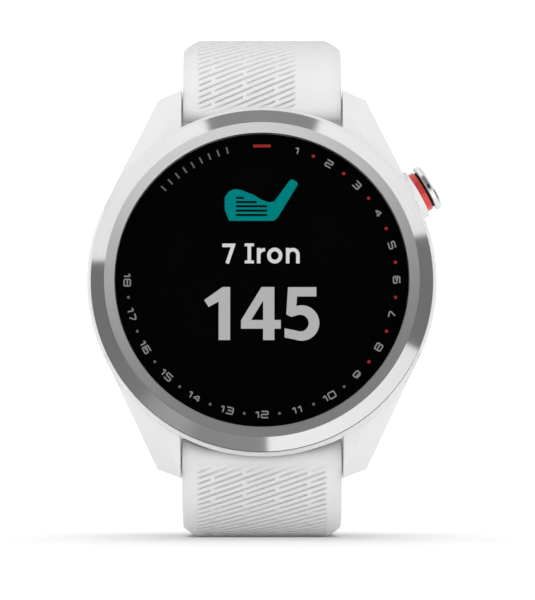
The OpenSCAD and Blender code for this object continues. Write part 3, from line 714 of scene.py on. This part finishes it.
def strap_half(name, sizes, path, side, grooves, fade, breaks, body, node, tip=False):
    """One half of the strap, lofted along its route. Its grooves are (from, to, pitch, rise): their reach
    across the strap, and their pitch and rise on its outer face."""
    total, place = path
    marks_from, marks_to, pitch, rise = grooves
    rim, half_t = STRAP_HALF_W, sizes.thickness / 2
    soft, under = 0.3 * MM, 0.4 * MM
    lean = side * math.tan(rise)
    stretch = 1 + half_t / sizes.first_bend
    case_edge = BEZEL_R + 0.55 * MM
    grooved_from, grooved_full, sheared_start = fade

    def along_route(outside):
        """Distance along the route of a distance along the outer face, past the first bend's start."""
        bend = sizes.first_bend * math.pi / 2
        if outside <= sizes.lead:
            return outside
        if outside <= sizes.lead + bend * stretch:
            return sizes.lead + (outside - sizes.lead) / stretch
        return outside - bend * (stretch - 1)
    tip_mid = rim - sizes.tip_corner
    tip_start = total - sizes.tip_corner

    def half_width(s):
        if tip and s > tip_start:
            return tip_mid + math.sqrt(max(0.0, sizes.tip_corner ** 2 - (s - tip_start) ** 2))
        return rim

    def half_thickness(s):
        reach = sizes.end_radius
        ends = [s] if tip else [s, total - s]
        round_end = [math.sqrt(max(0.0, reach ** 2 - d ** 2)) for d in ends if d < reach]
        if min(ends) <= 0:
            return round_end[0]
        swell = (reach - half_t if round_end else 0.0) * (1 - step(min(ends), 0, 1.9 * MM))
        return half_t + swell

    def end_reach(u):
        """How far the rounded end reaches past its bar: further at the sides, where the case curves away."""
        room = abs(place(0, 0, 0).z - DIAL_Z) - math.sqrt(case_edge ** 2 - u ** 2) - 0.05 * MM
        return max(sizes.end_radius, min(room, 3.0 * MM))

    def spot(s, u, v):
        """Place along the strap: the upper end reaches further below its bar than above it."""
        if s >= 0:
            return s
        share = 1.0 if tip else 1 - step(v, -1.1 * MM, 0.2 * MM)
        return s * (1 + (end_reach(u) / sizes.end_radius - 1) * share)

    def from_rim(s, u, width):
        """Distance from a point of the outer face to the strap's outline."""
        gap = width - abs(u)
        if tip and s > tip_start:
            aside = max(0.0, abs(u) - tip_mid)
            gap = sizes.tip_corner - math.hypot(s - tip_start, aside)
        return max(0.0, gap)

    def edge_fall(s):
        """Height lost at the rim: little at the rounded ends, so that they stay whole round their bars."""
        ends = s if tip else min(s, total - s)
        return sizes.edge_height * (0.1 + 0.9 * step(ends, 0.8 * MM, 3.6 * MM))

    def outer(s, gap):
        fall = edge_fall(s) / sizes.edge_width
        if gap > sizes.edge_width + soft:
            return half_t
        if gap > sizes.edge_width - soft:
            return half_t - fall * (sizes.edge_width + soft - gap) ** 2 / (4 * soft)
        crown = 0.1 * MM * math.sin(math.pi * gap / (sizes.edge_width - soft))
        return half_t - fall * (sizes.edge_width - gap) + crown * edge_fall(s) / sizes.edge_height

    def groove(s, u, depth, line):
        if not depth or not marks_from < u < marks_to:
            return 0.0
        share = step(u, marks_from, marks_from + 0.3 * MM) * (1 - step(u, marks_to - 0.3 * MM, marks_to))
        for k, here in enumerate(breaks):
            if (line + k) % 2 == 0:
                share *= step(abs(u - here), 0.2 * MM, 0.42 * MM)
        share *= step(s, grooved_from, grooved_full)
        share *= 1 - step(s, sizes.groove_length - 6 * MM, sizes.groove_length)
        return depth * share * sizes.groove_depth

    columns = strap_columns(sizes, marks_from, marks_to, breaks)
    rows = [(-sizes.end_radius * math.cos(math.pi / 2 * k / 16), None, 0.0) for k in range(17)]
    rows = [row for row in rows if row[0] < sheared_start - 0.05 * MM]
    first = math.floor((sheared_start - rim * abs(lean)) / pitch) - 1
    last = math.ceil((sizes.groove_length * 1.1 + rim * abs(lean)) / pitch)
    for line in range(first, last):
        rows += [(line * pitch + offset, line, depth) for offset, depth in groove_rows(sizes)]
    sheared_end = sizes.groove_length + 0.5 * MM
    plain = sheared_end
    final = tip_start if tip else total
    while plain < final - 0.6 * MM:
        plain += 0.9 * MM
        rows.append((min(plain, final), None, 0.0))
    if tip:
        rows += [(tip_start + sizes.tip_corner * math.sin(math.pi / 2 * k / 16), None, 0.0) for k in range(1, 17)]
    else:
        rows += [(total + sizes.end_radius * math.sin(math.pi / 2 * k / 8), None, 0.0) for k in range(9)]

    points = []
    for distance, line, depth in rows:
        ring = []
        sheared = line is not None

        def slide(u):
            return min(max(along_route(distance + lean * u), sheared_start), sheared_end) if sheared else distance

        width = max(half_width(distance), 0.02 * MM)
        scale = width / rim
        for u0 in columns:
            s = slide(u0)
            wide = half_width(s) / rim if sheared else scale
            u = u0 * wide
            k = half_thickness(s) / half_t
            v = outer(s, from_rim(s, u, wide * rim)) - groove(s, u, depth, line)
            height = max(v * k, (-half_t + under) * k)
            ring.append(place(spot(s, u, height), u, height))
        for sign in (1, -1):
            s = slide(sign * rim)
            wide = half_width(s) if sheared else width
            k = half_thickness(s) / half_t
            low, high = (-half_t + under) * k, (half_t - edge_fall(s) - 0.1 * MM) * k
            inset = min(under, wide / 2)
            beside = 0.12 * MM * (1 - step(s, 1.2 * MM, 2.2 * MM))
            corner = [(wide, high), (wide, low), (wide - inset * 0.3, low - under * 0.7 * k),
                      (wide - inset, -half_t * k)]
            for across, height in corner if sign > 0 else corner[::-1]:
                wider = beside * (1 - step(height, -0.9 * MM, 0.3 * MM))
                ring.append(place(spot(s, across, height), sign * (across + wider), height))
            if sign > 0:
                for u0 in (0.75, 0.5, 0.25, 0, -0.25, -0.5, -0.75):
                    s = slide(u0 * rim)
                    wide_here = half_width(s) if sheared else width
                    ring.append(place(spot(s, u0 * wide_here, -half_t), u0 * wide_here, -half_thickness(s)))
        points.append(ring)

    count = len(points[0])
    flat = [p for ring in points for p in ring]
    faces = [tuple(range(count))[::-1], tuple(range((len(points) - 1) * count, len(points) * count))]
    for i in range(len(points) - 1):
        for j in range(count):
            k = (j + 1) % count
            faces.append((i * count + j, i * count + k, (i + 1) * count + k, (i + 1) * count + j))
    piece = add_piece(name, flat, faces, look_for("strap_silicone"), body, [node], 50)
    weld(piece)
    return piece


def weld(piece):
    """Joins points that lie on each other and drops faces without area."""
    shape = bmesh.new()
    shape.from_mesh(piece.data)
    bmesh.ops.remove_doubles(shape, verts=shape.verts, dist=0.002 * MM)
    bmesh.ops.dissolve_degenerate(shape, edges=shape.edges, dist=0.001 * MM)
    bmesh.ops.recalc_face_normals(shape, faces=shape.faces)
    shape.to_mesh(piece.data)
    shape.free()


def bore(place, distance, radius, half_length, turns=32):
    """A rod across the strap, at a distance along it."""
    rings = []
    for across in (-half_length, half_length):
        for i in range(turns):
            a = math.tau * i / turns
            rings.append(place(distance + radius * math.cos(a), across, radius * math.sin(a)))
    faces = [tuple(range(turns)), tuple(range(turns, 2 * turns))[::-1]]
    faces += [(i, (i + 1) % turns, (i + 1) % turns + turns, i + turns) for i in range(turns)]
    return rings, faces


def pocket(place, distances, acrosses, heights):
    """A box in the strap's own directions."""
    points = [place(s, u, v) for s in distances for u in acrosses for v in heights]
    faces = [(0, 1, 3, 2), (4, 6, 7, 5), (0, 4, 5, 1), (2, 3, 7, 6), (0, 2, 6, 4), (1, 5, 7, 3)]
    return points, faces


def adjustment_hole(place, distance, half_t, turns=40):
    """A long hole, flared a little at both faces."""
    levels = [(-half_t - 0.6 * MM, 0.32), (-half_t, 0.14), (-half_t + 0.25 * MM, 0.0),
              (half_t - 0.25 * MM, 0.0), (half_t, 0.14), (half_t + 0.6 * MM, 0.32)]
    radius, straight = 1.1 * MM, 0.5 * MM
    points, faces = [], []
    for height, flare in levels:
        r = radius + flare * MM
        for i in range(turns):
            a = math.tau * i / turns
            shift = straight if math.cos(a) > 0 else -straight
            points.append(place(distance + shift + r * math.cos(a), r * math.sin(a), height))
    for level in range(len(levels) - 1):
        for i in range(turns):
            j = (i + 1) % turns
            faces.append((level * turns + i, level * turns + j, (level + 1) * turns + j, (level + 1) * turns + i))
    faces += [tuple(range(turns))[::-1], tuple(range((len(levels) - 1) * turns, len(levels) * turns))]
    return points, faces


class WATCH_OT_straps(Operator):
    """Builds both silicone straps with their grooves, holes and bores"""

    bl_idname = "golf_watch.straps"
    bl_label = "Straps"

    def execute(self, context):
        sizes = context.scene.watch_strap
        half_t = sizes.thickness / 2
        wide = STRAP_HALF_W + 1 * MM
        bar_bore = 0.95 * MM
        path = upper_route(sizes)
        total, place = path
        breaks = [-6.15 * MM, -2.15 * MM, 1.9 * MM]
        grooves = (-8.05 * MM, 4.2 * MM, sizes.upper_pitch, sizes.upper_rise)
        fade = (-0.8 * MM, 0.5 * MM, -0.9 * MM)
        upper = strap_half("strap_upper", sizes, path, 1, grooves, fade, breaks, "strap_top", "upper_strap")
        knob = [(-0.9 * MM, 0.9 * MM), (4.1 * MM, 7.2 * MM), (-3 * MM, 0)]
        carve(upper, [
            bore(place, 0, bar_bore, wide),
            bore(place, total, bar_bore, wide),
            pocket(place, *knob),
            pocket(place, (total - 3.3 * MM, total + 3 * MM), (-1.8 * MM, 1.8 * MM), (-3 * MM, 3 * MM)),
        ])
        path = lower_route(sizes)
        total, place = path
        grooves = (-8.05 * MM, 8.05 * MM, sizes.lower_pitch, sizes.lower_rise)
        breaks = [-6.15 * MM, -2.15 * MM, 1.9 * MM, 5.9 * MM]
        fade = (0.2 * MM, 1.9 * MM, 0.0)
        lower = strap_half(
            "strap_lower", sizes, path, -1, grooves, fade, breaks, "strap_bottom", "lower_strap", tip=True
        )
        holes = [
            adjustment_hole(place, total - sizes.first_hole - k * sizes.hole_pitch, half_t)
            for k in range(sizes.hole_count)
        ]
        carve(lower, [bore(place, 0, bar_bore, wide), pocket(place, *knob)] + holes)
        return {"FINISHED"}


# ---- Keepers ----


def rounded_box(half_x, half_y, radius, steps=6):
    """Points round a rectangle with round corners."""
    made = []
    for cx, cy, start in ((1, 1, 0), (-1, 1, 90), (-1, -1, 180), (1, -1, 270)):
        for k in range(steps + 1):
            a = math.radians(start + 90 * k / steps)
            made.append((cx * (half_x - radius) + radius * math.cos(a), cy * (half_y - radius) + radius * math.sin(a)))
    return made


def keeper_band(name, node, body, sizes):
    """A silicone loop round both straps, with soft edges."""
    low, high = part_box(node)
    wall = 1.4 * MM
    inner_r = sizes.rear_bend - sizes.thickness / 2 - 0.25 * MM
    outer_r = sizes.rear_bend + 1.5 * sizes.thickness + 0.5 * MM
    middle, half_r = (inner_r + outer_r) / 2, (outer_r - inner_r) / 2
    half_x = high.x - wall
    middle_angle = math.radians(10 if node == "fixed_keeper" else 30)
    outwards = Vector((0, math.cos(middle_angle), math.sin(middle_angle)))
    forwards = Vector((0, -math.sin(middle_angle), math.cos(middle_angle)))
    outside = rounded_box(half_r + wall, high.x, 1.3 * MM)
    inside = rounded_box(half_r, half_x, 0.15 * MM)
    band = 5.2 * MM
    section = rounded_box(wall / 2, band / 2, 0.4 * MM, 4)
    points, faces = [], []
    for (out_r, out_x), (in_r, in_x) in zip(outside, inside):
        for across, along in section:
            share = across / wall + 0.5
            radius = middle + in_r + (out_r - in_r) * share
            x = in_x + (out_x - in_x) * share
            middle_of_band = Vector((x, BEND_CENTRE.y, BEND_CENTRE.z))
            points.append(middle_of_band + outwards * radius + forwards * along)
    loops, size = len(outside), len(section)
    for i in range(loops):
        for j in range(size):
            k, m = (i + 1) % loops, (j + 1) % size
            faces.append((i * size + j, i * size + m, k * size + m, k * size + j))
    return add_piece(name, points, faces, look_for("strap_silicone"), body, [node], 60)


class WATCH_OT_keepers(Operator):
    """Builds the fixed and the sliding keeper"""

    bl_idname = "golf_watch.keepers"
    bl_label = "Keepers"

    def execute(self, context):
        sizes = context.scene.watch_strap
        keeper_band("keeper_fixed", "fixed_keeper", "strap_top", sizes)
        keeper_band("keeper_sliding", "loose_keeper", "keeper", sizes)
        return {"FINISHED"}


# ---- Screen and hole numbers ----

DIGITS = {
    "0": [([(0, 1), (1, 1), (1, 0), (0, 0)], True)],
    "1": [([(0, 0.76), (1, 1), (1, 0)], False)],
    "2": [([(0, 1), (1, 1), (1, 0.52), (0, 0.52), (0, 0), (1, 0)], False)],
    "3": [([(0, 1), (1, 1), (1, 0), (0, 0)], False), ([(0.2, 0.52), (1, 0.52)], False)],
    "4": [([(0.78, 0), (0.78, 1), (0, 0.32)], False), ([(0, 0.32), (1, 0.32)], False)],
    "5": [([(1, 1), (0, 1), (0, 0.52), (1, 0.52), (1, 0), (0, 0)], False)],
    "6": [([(1, 1), (0, 1), (0, 0), (1, 0), (1, 0.55), (0, 0.55)], False)],
    "7": [([(0, 1), (1, 1), (0.45, 0)], False)],
    "8": [([(0, 1), (1, 1), (1, 0), (0, 0)], True), ([(0, 0.52), (1, 0.52)], False)],
    "9": [([(1, 0.45), (0, 0.45), (0, 1), (1, 1), (1, 0), (0, 0)], False)],
}


def numeral(text, width, height, stroke, gap):
    """Loops of a number written in square strokes, centred on the origin."""
    spans = [width * (0.5 if digit == "1" else 1) for digit in text]
    left = -(sum(spans) + gap * (len(text) - 1)) / 2
    made = []
    for digit, span in zip(text, spans):
        for line, closed in DIGITS[digit]:
            inked = [(left + stroke / 2 + x * (span - stroke), (y - 0.5) * (height - stroke)) for x, y in line]
            soft = eased(inked, 0.16 * height, 3, closed)
            made.append(ribbon(soft, stroke, closed))
        left += span + gap
    return made


def figures(name, shapes, out, thickness, material):
    """One piece made of many flat shapes; each is a list of loops in dial coordinates."""
    parts = [plate(loops, out, out + thickness, on_dial) for loops in shapes]
    points, faces = merge(parts)
    return add_piece(name, points, faces, material, "watch", sharp=30)


def circle(x, y, radius, turns=24):
    return [Vector((x + radius * math.cos(math.tau * i / turns), y + radius * math.sin(math.tau * i / turns)))
            for i in range(turns)]


def in_mm(points):
    return [tuple(part * MM for part in point) for point in points]


def arc(cx, cy, radius, start, end, steps=10):
    return [(cx + radius * math.cos(math.radians(start + (end - start) * k / steps)),
             cy + radius * math.sin(math.radians(start + (end - start) * k / steps))) for k in range(steps + 1)]


def screen_name():
    """The club name: a figure and four letters in one weight."""
    stroke = 0.44 * MM
    seven = ribbon(in_mm([(-4.9, 4.29), (-3.55, 4.29), (-4.3, 2.05)]), stroke)
    stem = ribbon(in_mm([(-1.56, 4.37), (-1.56, 2.17)]), stroke)
    serifs = [ribbon(in_mm([(-2.13, z), (-0.99, z)]), 0.36 * MM) for z in (4.35, 2.23)]
    r_stem = ribbon(in_mm([(-0.4, 2.05), (-0.4, 3.97)]), stroke)
    r_arm = ribbon(in_mm([(-0.4, 3.02)] + arc(0.3, 3.07, 0.68, 175, 82, 6)), 0.42 * MM)
    ring_o = ribbon(in_mm([(1.585 + 0.72 * math.cos(a), 3.02 + 0.76 * math.sin(a))
                           for a in (math.tau * k / 28 for k in range(28))]), 0.46 * MM, True)
    n_stem = ribbon(in_mm([(3.19, 2.05), (3.19, 3.97)]), stroke)
    n_arch = ribbon(in_mm([(3.19, 3.02)] + arc(3.82, 3.13, 0.63, 165, 0, 8) + [(4.45, 2.05)]), 0.44 * MM)
    return [seven, stem, *serifs, r_stem, r_arm, ring_o, n_stem, n_arch]


def screen_distance():
    """The distance in large figures."""
    one = [in_mm([(-5.35, -7.45), (-3.93, -7.45), (-3.93, -0.88), (-4.86, -0.88), (-7.14, -2.49), (-6.59, -3.36),
                  (-5.35, -2.68)])]
    four = [in_mm([(0.15, -7.45), (1.54, -7.45), (1.54, -6.04), (2.33, -6.04), (2.33, -4.97), (1.54, -4.97),
                   (1.54, -0.88), (-0.05, -0.88), (-2.58, -5.0), (-2.58, -6.04), (0.15, -6.04)]),
            in_mm([(0.15, -4.97), (0.15, -2.56), (-1.32, -4.97)])]
    flag = [(3.63, -4.59), (3.01, -4.28), (3.22, -0.9), (6.73, -0.9), (6.73, -2.05), (4.35, -2.05), (4.25, -3.25)]
    bowl = arc(4.9, -5.34, 2.2, 94, -112, 20) + [(2.8, -7.13), (2.8, -6.0)] + arc(4.74, -5.35, 1.04, -116, 104, 14)
    five = [in_mm(flag + bowl)]
    return [one, four, five]


def club_icon():
    """Outline of an iron's head and shaft, and the lines across its face."""
    outline = [(-4.61, 10.1), (-4.61, 8.6), (-4.11, 7.3), (-3.99, 7.19), (1.46, 7.19), (1.96, 7.6), (4.56, 11.9),
               (3.62, 12.47), (1.54, 9.6), (0.84, 9.49), (-0.15, 9.86), (-1.14, 10.48), (-2.63, 11.03),
               (-3.37, 11.15), (-4.11, 10.85), (-4.5, 10.24)]
    head = [eased([(x, z + 0.15 * MM) for x, z in in_mm(outline)], 0.42 * MM, 3)]
    ends = [(10.04, -2.25), (9.52, -0.64), (9.0, 0.64), (8.45, 0.64), (7.91, 0.64)]
    lines = [ribbon(in_mm([(-3.2, z + 0.15), (end, z + 0.15)]), 0.26 * MM) for z, end in ends]
    return head, lines


def around(degrees, radius):
    a = math.radians(degrees)
    return Vector((radius * math.cos(a), radius * math.sin(a)))


def turned(loops, degrees, at):
    """Loops turned about the origin, then set at a place on the dial."""
    a = math.radians(degrees)
    c, s = math.cos(a), math.sin(a)
    return [[Vector((at.x + p.x * c - p.y * s, at.y + p.x * s + p.y * c)) for p in loop] for loop in loops]


class WATCH_OT_screen(Operator):
    """Builds the lit figures of the screen"""

    bl_idname = "golf_watch.screen"
    bl_label = "Screen"

    def execute(self, context):
        colours = context.scene.watch_colours
        lift, layer = 0.01 * MM, 0.02 * MM
        figures("screen_club_name", screen_name(), lift, layer, lit_area("lit_name", colours.name_text))
        figures("screen_distance", screen_distance(), lift, layer,
                lit_area("lit_distance", colours.distance_text))
        head, lines = club_icon()
        figures("screen_club_icon", [head], lift, layer, lit_area("lit_icon", colours.icon))
        figures("screen_club_lines", lines, lift + layer, layer / 2, look_for("display"))
        return {"FINISHED"}


class WATCH_OT_hole_numbers(Operator):
    """Prints the eighteen hole numbers and their dots on the black ring, in ink with a painted glow"""

    bl_idname = "golf_watch.hole_numbers"
    bl_label = "Hole numbers"

    def execute(self, context):
        colours = context.scene.watch_colours
        radius = 16.65 * MM
        out = SCREEN_FRONT - GLASS_BACK + 0.004 * MM
        layer = 0.02 * MM
        shapes = []
        for hole in range(1, 19):
            degrees = 90 - 15 * hole
            facing = degrees - 90 if hole < 7 else degrees + 90
            for loops in numeral(str(hole), 0.98 * MM, 0.93 * MM, 0.16 * MM, 0.22 * MM):
                shapes.append(turned(loops, facing, around(degrees, radius)))
        ink = printed_ink("ink_grey", colours.numerals)
        figures("ring_numbers", shapes, out, layer, ink)
        spots = [90 - 15 * (hole + 0.5) for hole in range(1, 18)]
        red = [[circle(*around(spot, radius), 0.21 * MM)] for spot in spots[:8]]
        bar = ribbon(in_mm([(-1.1, 0), (1.1, 0)]), 0.36 * MM)
        red.append(turned(bar, 0, around(90, radius)))
        grey = [[circle(*around(spot, radius), 0.18 * MM)] for spot in spots[8:]]
        tick = ribbon(in_mm([(0, -0.42), (0, 0.42)]), 0.2 * MM)
        grey += [turned(tick, spot - 90, around(spot, radius)) for spot in range(105, 138, 4)]
        # The red and grey marks glow too: painted glow, as for the numbers.
        red_ink = printed_ink("ink_red", shade(colours.accent, 0.34), 0.3)
        dim_ink = printed_ink("ink_dim", shade(colours.numerals, 0.5))
        figures("ring_marks_red", red, out, layer, red_ink)
        figures("ring_marks_grey", grey, out, layer, dim_ink)
        border = [circle(0, 0, GLASS_R - 0.01 * MM, 160), circle(0, 0, 15.3 * MM, 160)]
        figures("glass_border", [border], out - 0.003 * MM, 0.002 * MM, look_for("black_film"))
        return {"FINISHED"}


# ---- Metal, polymer and inner parts ----


def reach_along(node, axis):
    """(lowest, highest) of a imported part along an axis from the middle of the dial."""
    origin = Vector((0, 0, DIAL_Z))
    steps = [(vertex.co - origin).dot(axis) for vertex in frame["nodes"][node].data.vertices]
    return min(steps), max(steps)


class WATCH_OT_pusher(Operator):
    """Builds a black ring of painted shade that fills the gap between the red collar and the pusher's cap, where the
    gap's shadow falls
    """

    bl_idname = "golf_watch.pusher"
    bl_label = "Pusher gap shade"

    def execute(self, context):
        axis = -Vector(joint("pusher_press")["axis"]).normalized()
        low = reach_along("pusher_bush", axis)[1]
        high = reach_along("pusher_cap", axis)[0] - 0.01 * MM
        depth = (cap_low.y + cap_high.y) / 2
        side = Vector((0, 1, 0))
        across = axis.cross(side)
        base = Vector((0, depth, DIAL_Z)) + axis * low
        height = high - low

        def place(x, y, up):
            return base + side * x + across * y + axis * up

        inner, outer, waist = 1.1 * MM, 2.4 * MM, 2.25 * MM
        profile = [(inner, 0), (outer, 0), (outer, height * 0.2), (waist, height * 0.5), (outer, height * 0.8),
                   (outer, height), (inner, height)]
        points, faces = lathe(profile, place, 64)
        # Painted shade: a near-black rubber ring closes the gap so that it reads dark, standing for its shadow.
        rubber = look_for("seal_rubber")
        gap_shade = add_piece("pusher_gap_shade", points, faces, rubber, "watch", sharp=40)
        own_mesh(gap_shade)
        return {"FINISHED"}


class WATCH_OT_seam(Operator):
    """Builds the fine dark joint between the bezel and the body"""

    bl_idname = "golf_watch.seam"
    bl_label = "Bezel seam"

    def execute(self, context):
        rim = [v.co.y for v in frame["nodes"]["bezel"].data.vertices
               if math.hypot(v.co.x, v.co.z - DIAL_Z) > BEZEL_R - 0.02 * MM]
        foot = max(rim)

        def place(x, z, height):
            return Vector((x, foot - height, DIAL_Z + z))

        inner, outer = BEZEL_R + 0.005 * MM, BEZEL_R + 0.06 * MM
        profile = [(inner, 0.002 * MM), (outer, 0.002 * MM), (outer, 0.03 * MM), (inner, 0.05 * MM)]
        points, faces = lathe(profile, place, 256)
        add_piece("bezel_joint", points, faces, look_for("dark_polymer"), "watch", sharp=60)
        return {"FINISHED"}


class WATCH_OT_finishes(Operator):
    """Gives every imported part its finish"""

    bl_idname = "golf_watch.finishes"
    bl_label = "Finishes"

    def execute(self, context):
        finish_nodes(*frame["nodes"])
        return {"FINISHED"}


# ---- Studio ----


def surround(settings):
    """White studio surround: even for soft light, and white panels with grey between them where metal mirrors it."""
    world = bpy.data.worlds.new("surround")
    bpy.context.scene.world = world
    world.use_nodes = True
    tree = Tree(world.node_tree)
    direction = tree.node("ShaderNodeTexCoord", output=0)
    split = tree.node("ShaderNodeSeparateXYZ", values={0: direction})
    x, y, z = (Signal(tree, socket) for socket in split.socket.node.outputs)
    reach = tree.node("ShaderNodeMath", {"operation": "SQRT"}, {0: x * x + z * z})
    run, rise = x / reach, z / reach

    def panel(degrees, half, soft=0.01):
        towards = run * math.cos(math.radians(degrees)) + rise * math.sin(math.radians(degrees))
        limit = math.cos(math.radians(half))
        return towards.smooth(limit - soft, limit + soft)

    panels = panel(46, 26) + panel(138.5, 30.5) + panel(306, 34)
    edge_on = 0.3 - 0.11 * run * run + 0.75 * panels + 0.15 * panel(233, 9, 0.02)
    tilt = 0.25 * x - 0.97 * z
    low_front = tree.node("ShaderNodeMapRange", values={"Value": tilt, "From Min": 0.0, "From Max": 1.0})
    front = 0.22 + 0.64 * tree.node("ShaderNodeMapRange", values={"Value": tilt, "From Min": -0.35, "From Max": 0.55})
    front = front + 0.9 * low_front * low_front
    ahead = (0 - y).smooth(0.35, 0.6)
    behind = y.smooth(0.4, 0.7)
    lens_card = (0 - y).smooth(0.955, 0.975)
    mirrored = edge_on * (1 - ahead) * (1 - behind) + front * ahead * (1 - lens_card) + 0.95 * behind
    diffuse = settings.sky * (1.08 - 0.5 * z.smooth(0.2, 0.9))
    path = tree.node("ShaderNodeLightPath")
    seen = Signal(tree, path.socket.node.outputs["Is Camera Ray"])
    glossy = Signal(tree, path.socket.node.outputs["Is Glossy Ray"])
    level = 1.1 * seen + (1 - seen) * (glossy * mirrored + (1 - glossy) * diffuse)
    background = world.node_tree.nodes["Background"]
    tree.feed(background.inputs["Strength"], level)
    background.inputs["Color"].default_value = (1.0, 1.0, 1.0, 1.0)


def area_light(name, place, aim, width, height, power):
    data = bpy.data.lights.new(name, "AREA")
    data.shape = "RECTANGLE"
    data.size, data.size_y = width, height
    data.energy = power
    lamp = bpy.data.objects.new(name, data)
    lamp.location = place
    lamp.rotation_euler = (Vector(aim) - Vector(place)).to_track_quat("-Z", "Y").to_euler()
    lamp.visible_glossy = False
    bpy.context.scene.collection.objects.link(lamp)
    return lamp


class WATCH_OT_studio(Operator):
    """Builds the floor, the lights and the camera"""

    bl_idname = "golf_watch.studio"
    bl_label = "Studio"

    def execute(self, context):
        settings = context.scene.watch_stage
        surround(settings)
        size = 6.0
        mesh = bpy.data.meshes.new("floor")
        corners = [(-size, -size, 0), (size, -size, 0), (size, size, 0), (-size, size, 0)]
        mesh.from_pydata(corners, [], [(0, 1, 2, 3)])
        floor = bpy.data.objects.new("floor", mesh)
        bpy.context.scene.collection.objects.link(floor)
        look = Look("floor_white", Specular_IOR_Level=0.2, Roughness=0.7)
        look.set("Base Color", look.blend(look.noise(30 * MM), settings.floor, shade(settings.floor, 1.005)))
        mesh.materials.append(look.material)
        floor.visible_glossy = False
        middle = (0, bezel_low.y, DIAL_Z)
        not_floor = bpy.data.collections.new("not_floor")
        not_floor.objects.link(floor)
        not_floor.collection_objects[0].light_linking.link_state = "EXCLUDE"
        front = area_light("front_light", (-0.25, -0.7, 0.2), middle, 0.5, 0.5, 0.6 * settings.key)
        low = area_light("low_light", (0.1, -0.5, 0.07), (0, 0, 0.008), 0.4, 0.1, 0.17 * settings.key)
        for lamp in (front, low):
            lamp.light_linking.receiver_collection = not_floor
        lit = bpy.data.collections.new("floor_only")
        lit.objects.link(floor)
        suns = (("floor_light_top", 0, 1.75), ("floor_light_back", -40, 1.95), ("floor_light_front", 50, 1.85))
        for name, tip, energy in suns:
            sun_data = bpy.data.lights.new(name, "SUN")
            sun_data.angle = math.radians(50)
            sun_data.energy = energy * settings.key
            sun = bpy.data.objects.new(name, sun_data)
            sun.rotation_euler = (math.radians(tip), 0, 0)
            bpy.context.scene.collection.objects.link(sun)
            sun.light_linking.receiver_collection = lit

        camera_data = bpy.data.cameras.new("camera")
        camera = bpy.data.objects.new("camera", camera_data)
        bpy.context.scene.collection.objects.link(camera)
        aim = Vector((0.69 * MM, bezel_low.y, DIAL_Z - 2.6 * MM))
        camera_height = 4 * MM
        rise = math.asin((aim.z - camera_height) / settings.distance)
        away = settings.distance * math.cos(rise)
        camera.location = (aim.x, aim.y - away, camera_height)
        camera.rotation_euler = (aim - camera.location).to_track_quat("-Z", "Y").to_euler()
        view_height = 73.85 * MM
        camera_data.lens = camera_data.sensor_width * settings.distance / view_height
        camera_data.clip_start = 0.01
        bpy.context.scene.camera = camera
        bpy.context.scene.view_settings.view_transform = "Standard"
        return {"FINISHED"}


class WATCH_PT_panel(Panel):
    """Sizes, colours and build steps of the watch"""

    bl_label = "Golf GPS Watch"
    bl_idname = "WATCH_PT_panel"
    bl_space_type = "VIEW_3D"
    bl_region_type = "UI"
    bl_category = "Golf Watch"

    def draw(self, context):
        layout = self.layout
        for group in (context.scene.watch_strap, context.scene.watch_colours, context.scene.watch_stage):
            box = layout.box()
            for key in group.bl_rna.properties.keys():
                if key not in ("rna_type", "name"):
                    box.prop(group, key)
        for operator in OPERATORS:
            layout.operator(operator.bl_idname)


OPERATORS = (WATCH_OT_finishes, WATCH_OT_straps, WATCH_OT_keepers, WATCH_OT_screen, WATCH_OT_hole_numbers,
             WATCH_OT_pusher, WATCH_OT_seam, WATCH_OT_studio)
GROUPS = (WatchStrapSettings, WatchColours, WatchStageSettings)


def register():
    for item in (*GROUPS, *OPERATORS, WATCH_PT_panel):
        bpy.utils.register_class(item)
    bpy.types.Scene.watch_strap = PointerProperty(type=WatchStrapSettings)
    bpy.types.Scene.watch_colours = PointerProperty(type=WatchColours)
    bpy.types.Scene.watch_stage = PointerProperty(type=WatchStageSettings)


def unregister():
    del bpy.types.Scene.watch_strap
    del bpy.types.Scene.watch_colours
    del bpy.types.Scene.watch_stage
    for item in reversed((*GROUPS, *OPERATORS, WATCH_PT_panel)):
        bpy.utils.unregister_class(item)


def main():
    register()
    bpy.ops.golf_watch.finishes()
    bpy.ops.golf_watch.straps()
    bpy.ops.golf_watch.keepers()
    bpy.ops.golf_watch.screen()
    bpy.ops.golf_watch.hole_numbers()
    bpy.ops.golf_watch.pusher()
    bpy.ops.golf_watch.seam()
    bpy.ops.golf_watch.studio()


if __name__ == "__main__":
    main()
